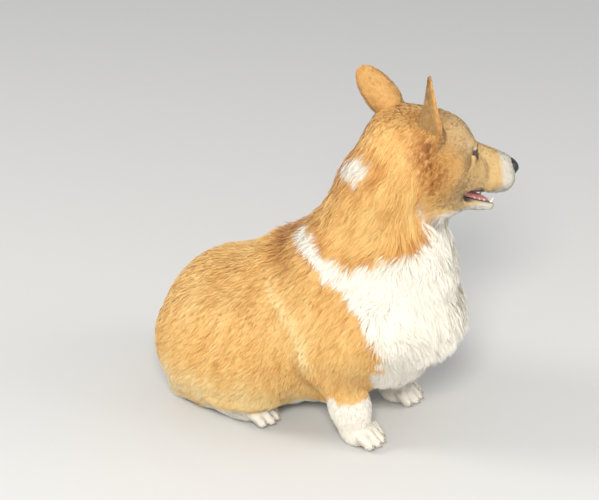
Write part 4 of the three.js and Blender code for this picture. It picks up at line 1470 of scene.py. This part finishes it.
def coat_regions(p):
    """Which piece of the coat each place belongs to."""
    h = HEAD.into(p)
    x, y, z = p.T
    side = np.where(x > 0, "left", "right")
    names = np.full(len(p), "flank_", dtype=object)
    names[y > 165] = "rump_"
    names[(z > 222) & (y < 100)] = "neck_"
    names[(y < -22) & (z < 300)] = "chest_"
    names[(z < 78) & (y < 58)] = "legs_"
    names[(z < 32) & (y < 186)] = "legs_"
    names = names + side
    is_head = headness(h) > 0.5
    names[is_head] = "crown"
    names[is_head & (h[:, 1] < -18) & (h[:, 0] > 0)] = "face_left"
    names[is_head & (h[:, 1] < -18) & (h[:, 0] <= 0)] = "face_right"
    return names


# Hairs to the square millimetre, and how each piece of the coat differs from the body's
DENSITY = {"flank": 0.72, "rump": 0.7, "neck": 0.8, "chest": 0.7, "legs": 1.4, "crown": 1.6, "face": 2.0}
STYLES = {"chest": {"stations": 4, "curl": 0.45, "wave": 0.06, "clump": 11, "gather": 0.34, "stray": 0.2,
                    "hug": 1.2, "proud": 1.25},
          "neck": {"curl": 0.25, "wave": 0.04, "clump": 10, "gather": 0.32, "proud": 1.15},
          "legs": {"stations": 2, "clump": 5, "gather": 0.2},
          "face": {"stations": 2, "curl": 0.05, "wave": 0, "clump": 3, "gather": 0.04},
          "crown": {"stations": 2, "curl": 0.02, "wave": 0, "clump": 3, "gather": 0.02}}
regions = coat_regions(hide.middles)
hairy = hairiness(hide.middles)
for name in sorted(set(regions)):
    kind = name.split("_")[0]
    density = DENSITY[kind] * hairy * (regions == name)
    mesh = grow(f"coat_{name}", hide, density, dict(BODY_STYLE, **STYLES.get(kind, {})), draw)
    finish_piece(mesh, hair, "coat")


# The stage: a pale floor, soft light and the camera at the photograph's place
CAMERA_AZIMUTH, CAMERA_ELEVATION = -63, 27
CAMERA_DISTANCE = 2300
PICTURE = (599, 500)
PIXELS_PER_MM = 0.83  # at the point between the forepaws
FOREPAW_PIXEL = (381, 420)  # where that point lies in the picture


def add_camera():
    a, e = math.radians(CAMERA_AZIMUTH), math.radians(CAMERA_ELEVATION)
    back = np.array([math.sin(a) * math.cos(e), -math.cos(a) * math.cos(e), math.sin(e)])
    right = np.array([math.cos(a), math.sin(a), 0])
    up = np.cross(back, right)
    across, down = (FOREPAW_PIXEL[n] - PICTURE[n] / 2 for n in (0, 1))
    place = back * CAMERA_DISTANCE - right * across / PIXELS_PER_MM + up * down / PIXELS_PER_MM
    data = bpy.data.cameras.new("camera")
    data.sensor_width = 36
    data.lens = 36 * PIXELS_PER_MM * CAMERA_DISTANCE / PICTURE[0]
    data.clip_start = 0.05
    camera = bpy.data.objects.new("camera", data)
    turn = Matrix((right, up, back)).transposed().to_4x4()
    camera.matrix_world = Matrix.Translation(in_scene(place)) @ turn
    bpy.context.scene.collection.objects.link(camera)
    bpy.context.scene.camera = camera


def add_softbox(name, place, target, size, colour, power):
    data = bpy.data.lights.new(name, "AREA")
    data.shape = "DISK"
    data.size = size
    data.color = colour
    data.energy = power
    light = bpy.data.objects.new(name, data)
    light.location = place
    light.rotation_euler = (Vector(target) - Vector(place)).to_track_quat("-Z", "Y").to_euler()
    bpy.context.scene.collection.objects.link(light)


def add_stage():
    bm = bmesh.new()
    bmesh.ops.create_grid(bm, x_segments=1, y_segments=1, size=40)
    mesh = made_mesh("floor", bm)
    floor = new_piece("floor", mesh)
    paper, tree, shader = new_material("floor_paper")
    set_inputs(tree, shader, Base_Color=(0.58, 0.58, 0.57, 1), Roughness=0.9)
    mesh.materials.append(paper)
    add_softbox("key", (-2.1, -0.9, 1.9), (0, 0, 0.2), 0.8, (1, 0.955, 0.88), 74)
    add_softbox("fill", (0.6, -2.4, 1.4), (0, 0, 0.2), 1.6, (1, 0.98, 0.95), 26)
    add_softbox("rim", (-1.2, 2.1, 1.8), (0, 0, 0.25), 1.0, (1, 0.98, 0.95), 36)
    world = bpy.data.worlds.new("studio")
    world.use_nodes = True
    sky = world.node_tree.nodes["Background"]
    sky.inputs["Color"].default_value = (0.93, 0.95, 1, 1)
    sky.inputs["Strength"].default_value = 0.55
    bpy.context.scene.world = world
    bpy.context.scene.view_settings.view_transform = "Standard"


add_camera()
add_stage()
